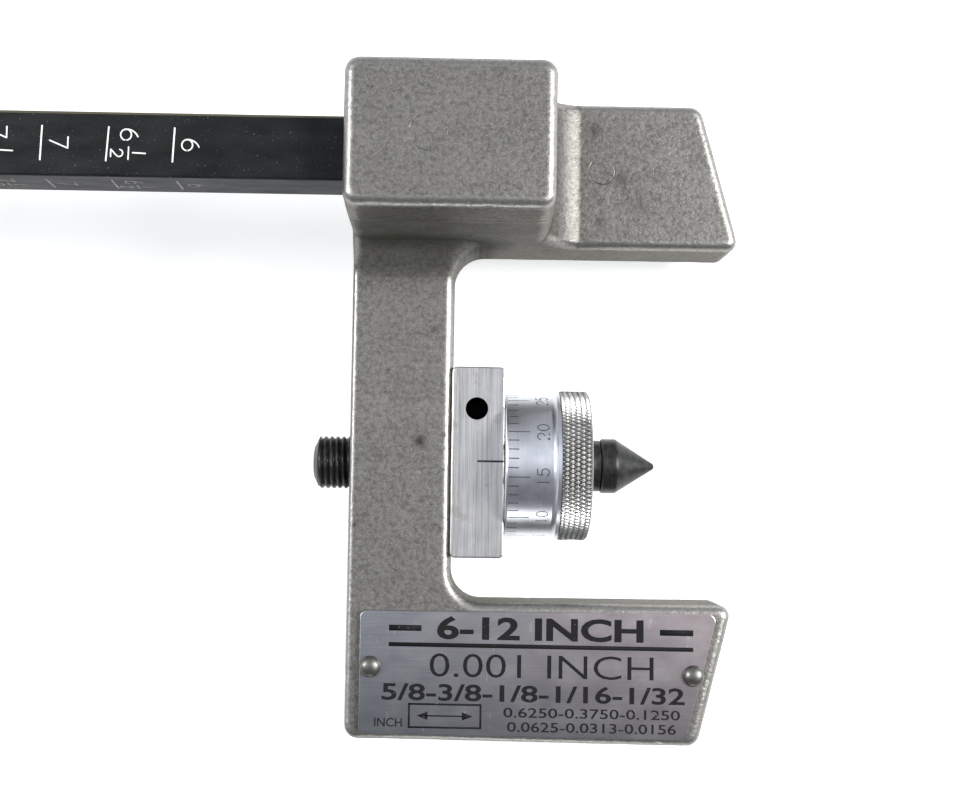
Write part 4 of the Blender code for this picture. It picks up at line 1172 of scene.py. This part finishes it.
def make_sleeve_marks():
    """Fifty divisions round the sleeve, numbered every fifth, engraved and dark."""
    shape = Shape()
    arc_step = math.tau * SLEEVE_RADIUS / DIVISIONS
    start = SLEEVE[0].x + 0.6
    for division in range(DIVISIONS):
        v = (division - READING) * arc_step + 0.5
        length = 4.3 if division % 5 == 0 else 2.0
        stroke(shape, [(start, v), (start + length, v)], 0.2, on_sleeve, 0.012, 0.05)
        if division % 5 == 0:
            number(shape, str(division), (start + 7.05, v), 2.4, (-1, 0), 0.2, on_sleeve, 0.012)
    marks = add_object("sleeve_marks", shape.vertices, shape.faces, DARK_FILL)
    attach(marks, BODY["graduated_sleeve"])


def make_nut_block():
    low, high = NUT[0] - Vector(NUT_GROWTH[0]), NUT[1] + Vector(NUT_GROWTH[1])
    top = high.z
    bm = box_mesh(low, high)
    bevel(bm, [e for e in bm.edges if abs(e.verts[0].co.z - e.verts[1].co.z) > 1], 1.0, 3)
    bevel(bm, [e for e in bm.edges if abs(e.verts[0].co.z - e.verts[1].co.z) < 0.01], 0.3, 2)
    nut = from_bmesh("nut_block_fine", bm, FINISHES["machined_aluminium"], FLAT)
    bore, radius = SPINDLE_BORE, NUT_HOLE_RADIUS
    countersink = [(low.x - 1, 0), (low.x - 1, bore),
                   (high.x - 0.4, bore), (high.x + 0.6, bore + 1),
                   (high.x + 0.6, 0)]
    blind = [(top - 8, 0), (top - 7, radius), (top - 0.1, radius), (top + 0.2, radius + 0.3),
             (top + 0.2, 0)]
    cuts = [turned(countersink, (0, 0, AXIS_Z), "X", 64), turned(blind, (*NUT_HOLE, 0), "Z", 48)]
    for offset in (0.9, 1.6):
        cuts.append(box_shape((low.x + offset - 0.06, low.y - 1, top - 0.12),
                              (low.x + offset + 0.06, high.y + 1, top + 1)))
    for place in NUT_SCREW_YZ:
        cuts.append(rod(low.x - 1, high.x - 1.5, 2.3, (0, *place), "X", 32))
    carve(nut, cuts, FLAT)
    # painted shade: marks the blind hole's walls below its rim, for the material to paint near
    # black
    places = places_of(nut)
    away = np.hypot(places[:, 0] - NUT_HOLE[0], places[:, 1] - NUT_HOLE[1])
    write_attribute(nut, "hole_shade", (away < NUT_HOLE_RADIUS + 0.05) & (places[:, 2] < top - 0.05))
    stand_for(nut, "nut_block")
    shape = Shape()
    index = [(INDEX_X, INDEX_Y), (high.x - 0.35, INDEX_Y)]
    stroke(shape, index, 0.42, lambda u, v, height: (u, v, top + height), 0.01, 0.05)
    line = add_object("index_line", shape.vertices, shape.faces, DARK_FILL)
    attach(line, BODY["nut_block"])


def prism_shape(outline, low_z, high_z, chamfer, steps):
    """An outline extruded along Z, its upper rim rounded by a small chamfer."""
    levels = [(low_z, 0.0), (high_z - chamfer, 0.0)]
    for step in range(1, steps + 1):
        angle = math.pi / 2 * step / steps
        levels.append((high_z - chamfer + chamfer * math.sin(angle),
                       chamfer * (1 - math.cos(angle))))
    count = len(outline)
    middle = sum(outline, Vector((0, 0))) / count
    vertices, faces = [], [tuple(reversed(range(count)))]
    for z, inset in levels:
        for point in outline:
            way = point - middle
            moved = [m + w * (1 - inset / max(abs(w), 4)) for m, w in zip(middle, way)]
            vertices.append((*moved, z))
    last = (len(levels) - 1) * count
    for low in range(0, last, count):
        for index in range(count):
            after = (index + 1) % count
            faces.append((low + index, low + after, low + count + after, low + count + index))
    faces.append(tuple(range(last, last + count)))
    return vertices, faces


def make_nameplate():
    low, high = LABEL
    outline = rounded_outline([
        (low.x, low.y + LABEL_RISE, 1.2),
        (high.x - LABEL_SLANT, low.y, 1.6),
        (high.x, high.y, 1.4),
        (low.x, high.y, 1.2),
    ])
    vertices, faces = prism_shape(outline, low.z, high.z, 0.15, 2)
    plate = add_object("nameplate_fine", vertices, faces, FINISHES["printed_plate"], FLAT)
    holes = []
    for side in ("left", "right"):
        first, last = span(f"drive_rivet_{side}")
        origin = ((first.x + last.x) / 2, (first.y + last.y) / 2, 0)
        holes.append(rod(low.z - 1, high.z + 1, 1.5, origin, "Z", 32))
    carve(plate, holes, FLAT)
    stand_for(plate, "nameplate")


def make_print():
    """Generic printing: dashes, a rule, the range, the graduation and some inch fractions."""
    low, high = LABEL[1].z - 0.02, LABEL[1].z - 0.02 + INK_DEPTH
    shape = Shape()
    for left, bottom, right, top in PRINT_BARS:
        shape.add(*box_shape((left, bottom, low), (right, top, high)))
    for text, lower_left, upper_right, weight in PRINT_LINES:
        lettering(shape, text, lower_left, upper_right, weight, low, INK_DEPTH)
    length, half = ARROW_HEAD
    for tip, way in ARROW_TIPS:
        arrow = [(tip, ARROW_Y), (tip + way * length, ARROW_Y + half),
                 (tip + way * length, ARROW_Y - half)]
        corners = [(x, y, height) for height in (low, high) for x, y in arrow]
        shape.add(corners, [(0, 2, 1), (3, 4, 5), (0, 1, 4, 3), (1, 2, 5, 4), (2, 0, 3, 5)])
    slope = math.tan(math.radians(PRINT_TURN))
    vertices = [(x, y + (x - PRINT_MIDDLE) * slope, z) for x, y, z in shape.vertices]
    print_piece = add_object("plate_print", vertices, shape.faces, BLACK_INK, None)
    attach(print_piece, BODY["nameplate"])


def make_rivets():
    for side in ("left", "right"):
        low, high = span(f"drive_rivet_{side}")
        x, y = (low.x + high.x) / 2, (low.y + high.y) / 2
        radius, stem = (high.x - low.x) / 2, 1.2
        seat = LABEL[1].z + 0.02
        profile = [(low.z, 0), (low.z, stem), (seat, stem),
                   (seat, radius - 0.08), (seat + 0.1, radius)]
        rise = high.z - seat - 0.1
        for step in range(1, 13):
            angle = math.pi / 2 * step / 12
            profile.append((seat + 0.1 + rise * math.sin(angle), radius * math.cos(angle)))
        profile[-1] = (high.z, 0)
        turned_piece(f"drive_rivet_{side}", profile, (x, y, 0), "Z", 64)


def socket_screw(node, axis, start, end, radius, origin, chamfer=0.5):
    """A headless socket screw whose socket is at end."""
    profile = finer(chamfered(start, end, radius, chamfer), 0.12)
    depth = min(2.5, (end - start) / 2)
    turned_piece(node, profile, origin, axis, 48,
                 lambda along, angle: thread(along, angle, radius, SMALL_PITCH, 0.35),
                 cuts=[rod(end - depth, end + 1, radius * 0.5, origin, axis, 6)])


def cap_screw(node):
    """A nut block screw, whose head is at its low end, along X."""
    low, high = span(node)
    origin = (0, (low.y + high.y) / 2, (low.z + high.z) / 2)
    head, shank = (high.y - low.y) / 2, 2.0
    under = low.x + 4
    profile = [(low.x, 0), (low.x, head - 0.4), (low.x + 0.4, head), (under, head), (under, shank)]
    profile += [(high.x - 0.4, shank), (high.x, shank - 0.4), (high.x, 0)]
    grooves = straight_limit(low.x + 0.5, under - 0.2, head, 36, 0.15)
    turned_piece(node, finer(profile, 0.4), origin, "X", 288, grooves, 50,
                 [rod(low.x - 1, low.x + 2.2, 1.7, origin, "X", 6)])


def make_screws():
    for count, x in enumerate(BAR_SET_SCREW_X, 1):
        node = f"bar_set_screw_{count}"
        low, high = span(node)
        socket_screw(node, "Y", low.y, high.y, (high.x - low.x) / 2, (x, 0, BAR_Z))
    for node in ("thimble_set_screw", "sleeve_set_screw"):
        low, high = span(node)
        x = (low.x + high.x) / 2
        socket_screw(node, "-Y", -high.y, -low.y, (high.x - low.x) / 2, (x, 0, AXIS_Z), 0.2)
    node = "jaw_contact_set_screw"
    low, high = span(node)
    socket_screw(node, "Z", low.z, high.z, (high.x - low.x) / 2, ((low.x + high.x) / 2, 0, 0))
    for side in ("upper", "lower"):
        cap_screw(f"nut_block_screw_{side}")


def make_bar_stop():
    origin = (0, BAR_Y, BAR_Z)
    low, high = span("bar_stop_washer")
    outer, inner, edge = (high.y - low.y) / 2, 2.8, 0.25
    profile = [(low.x, inner), (low.x, outer - edge), (low.x + edge, outer), (high.x - edge, outer),
               (high.x, outer - edge), (high.x, inner)]
    turned_piece("bar_stop_washer", profile, origin)
    low, high = span("bar_stop_screw")
    head, under, shank = (high.y - low.y) / 2, low.x + 2.8 - GAP, 2.5
    dome = [(low.x + 0.9 - 0.9 * math.sin(a), head * math.cos(a)) for a in
            np.linspace(math.pi / 2, 0, 9)]
    dome[0] = (low.x, 0)
    profile = dome + [(under, head), (under, shank), (high.x - 0.5, shank), (high.x, shank - 0.5),
                      (high.x, 0)]
    turned_piece("bar_stop_screw", profile, origin,
                 cuts=[rod(low.x - 1, low.x + 1.8, 1.9, origin, "X", 6)])


def make_jaw_contact():
    low, high = CONTACT
    radius = (high.y - low.y) / 2
    cone = cone_profile(low.x, -1, radius)[::-1]
    profile = cone + [(high.x - 0.6, radius), (high.x, radius - 0.6), (high.x, 0)]
    turned_piece("jaw_contact", finer(profile, 0.8), (0, 0, AXIS_Z), "X", 128)


def make_lock():
    low, high = span("lock_plunger")
    origin = ((low.x + high.x) / 2, 0, BAR_Z)
    radius = (high.x - low.x) / 2
    profile = [(low.y, 0), (low.y, 0.9), (low.y + 0.1, 1), (low.y + 1.5, radius),
               (high.y - 0.2, radius), (high.y, radius - 0.2), (high.y, 0)]
    turned_piece("lock_plunger", profile, origin, "Y", 64)

    low, high = span("lock_thumb_screw")
    head, shank, edge = (high.x - low.x) / 2, 3.0, 0.7
    start, end = high.y - 9, high.y
    tail = [(low.y, 0), (low.y, shank - 0.4), (low.y + 0.4, shank), (start - 1.2, shank)]
    rim = [(start, head - edge), (start + edge, head), (end - edge, head), (end, head - edge)]
    profile = finer(tail, 0.1)
    profile += [(start - 1.2, shank - 0.3), (start - 0.3, shank - 0.3), (start, shank + 0.4)]
    profile += finer(rim, 0.3) + [(end, 3.4), (end - 0.5, 2.6), (end - 0.5, 0)]
    knurl = straight_limit(start + 0.05, end - 0.05, head, 48, 0.4)

    def limit(along, angle):
        screw = thread(along, angle, shank, SMALL_PITCH, 0.4)
        return np.where(along < start - 1.3, screw, knurl(along, angle))

    obj = turned_piece("lock_thumb_screw", profile, origin, "Y", 384, limit, 50)
    mark_grooves(obj, origin[0], BAR_Z, head, 0.4, "Y")


# ---------------------------------------------------------------- floor, light and camera


def make_stage():
    signs = ((-1, -1), (1, -1), (1, 1), (-1, 1))
    corners = [(x * FLOOR_REACH, y * FLOOR_REACH, FLOOR_Z) for x, y in signs]
    floor = add_object("floor", corners, [(0, 1, 2, 3)], pale_floor(), None)


def make_world():
    """A pale room, brightest to the right, with a pale strip overhead and less light from the
    tool's front and back."""
    world = bpy.data.worlds.new("room")
    bpy.context.scene.world = world
    world.use_nodes = True
    tree = world.node_tree
    split = tree.nodes.new("ShaderNodeSeparateXYZ")
    tree.links.new(tree.nodes.new("ShaderNodeTexCoord").outputs["Generated"], split.inputs[0])
    strength = None
    for direction, *limits in WORLD_FADES:
        part = tree.nodes.new("ShaderNodeMapRange")
        part.interpolation_type = "SMOOTHSTEP"
        for name, value in zip(("From Min", "From Max", "To Min", "To Max"), limits):
            part.inputs[name].default_value = value
        tree.links.new(split.outputs[direction], part.inputs["Value"])
        if strength is None:
            strength = part.outputs["Result"]
            continue
        product = tree.nodes.new("ShaderNodeMath")
        product.operation = "MULTIPLY"
        tree.links.new(strength, product.inputs[0])
        tree.links.new(part.outputs["Result"], product.inputs[1])
        strength = product.outputs["Value"]
    background = tree.nodes["Background"]
    background.inputs["Color"].default_value = (0.94, 0.98, 1.07, 1)
    tree.links.new(strength, background.inputs["Strength"])


def area_light(name, place, target, size, power, colour=(1, 1, 1)):
    light = bpy.data.lights.new(name, "AREA")
    light.shape, light.size, light.energy, light.color = "DISK", size * MM, power, colour
    obj = bpy.data.objects.new(name, light)
    bpy.context.collection.objects.link(obj)
    obj.location = Vector(place) * MM + ORIGIN
    way = Vector(target) * MM + ORIGIN - obj.location
    obj.rotation_euler = way.to_track_quat("-Z", "Y").to_euler()


def make_lights():
    area_light("right_window", (800, 160, 780), (20, 10, 0), 420, 13.0, (1.0, 0.99, 0.97))
    area_light("left_window", (-760, 200, 820), (20, 10, 0), 320, 6.0)
    area_light("low_front", (20, -800, 52), (20, 10, 20), 90, 0.5)


def make_camera():
    """Nearly straight down from close by: the tool lies under it and the bar runs out of view."""
    data = bpy.data.cameras.new("camera")
    data.sensor_width = 36
    data.lens = 46.875
    camera = bpy.data.objects.new("camera", data)
    bpy.context.collection.objects.link(camera)
    camera.location = Vector((WEB_WIDTH + 2, -4.5, 285.5)) * MM + ORIGIN
    camera.rotation_euler = [math.radians(angle) for angle in (3.66, -0.87, 0.8)]
    data.clip_start = 0.01
    bpy.context.scene.camera = camera


make_frame_casting()
make_jaw_casting()
make_bar()
make_bar_marks()
make_spindle()
make_cone_point()
make_thimble()
make_sleeve_marks()
make_nut_block()
make_nameplate()
make_print()
make_rivets()
make_screws()
make_bar_stop()
make_jaw_contact()
make_lock()
make_stage()
make_world()
make_lights()
make_camera()
bpy.context.scene.view_settings.view_transform = "Standard"
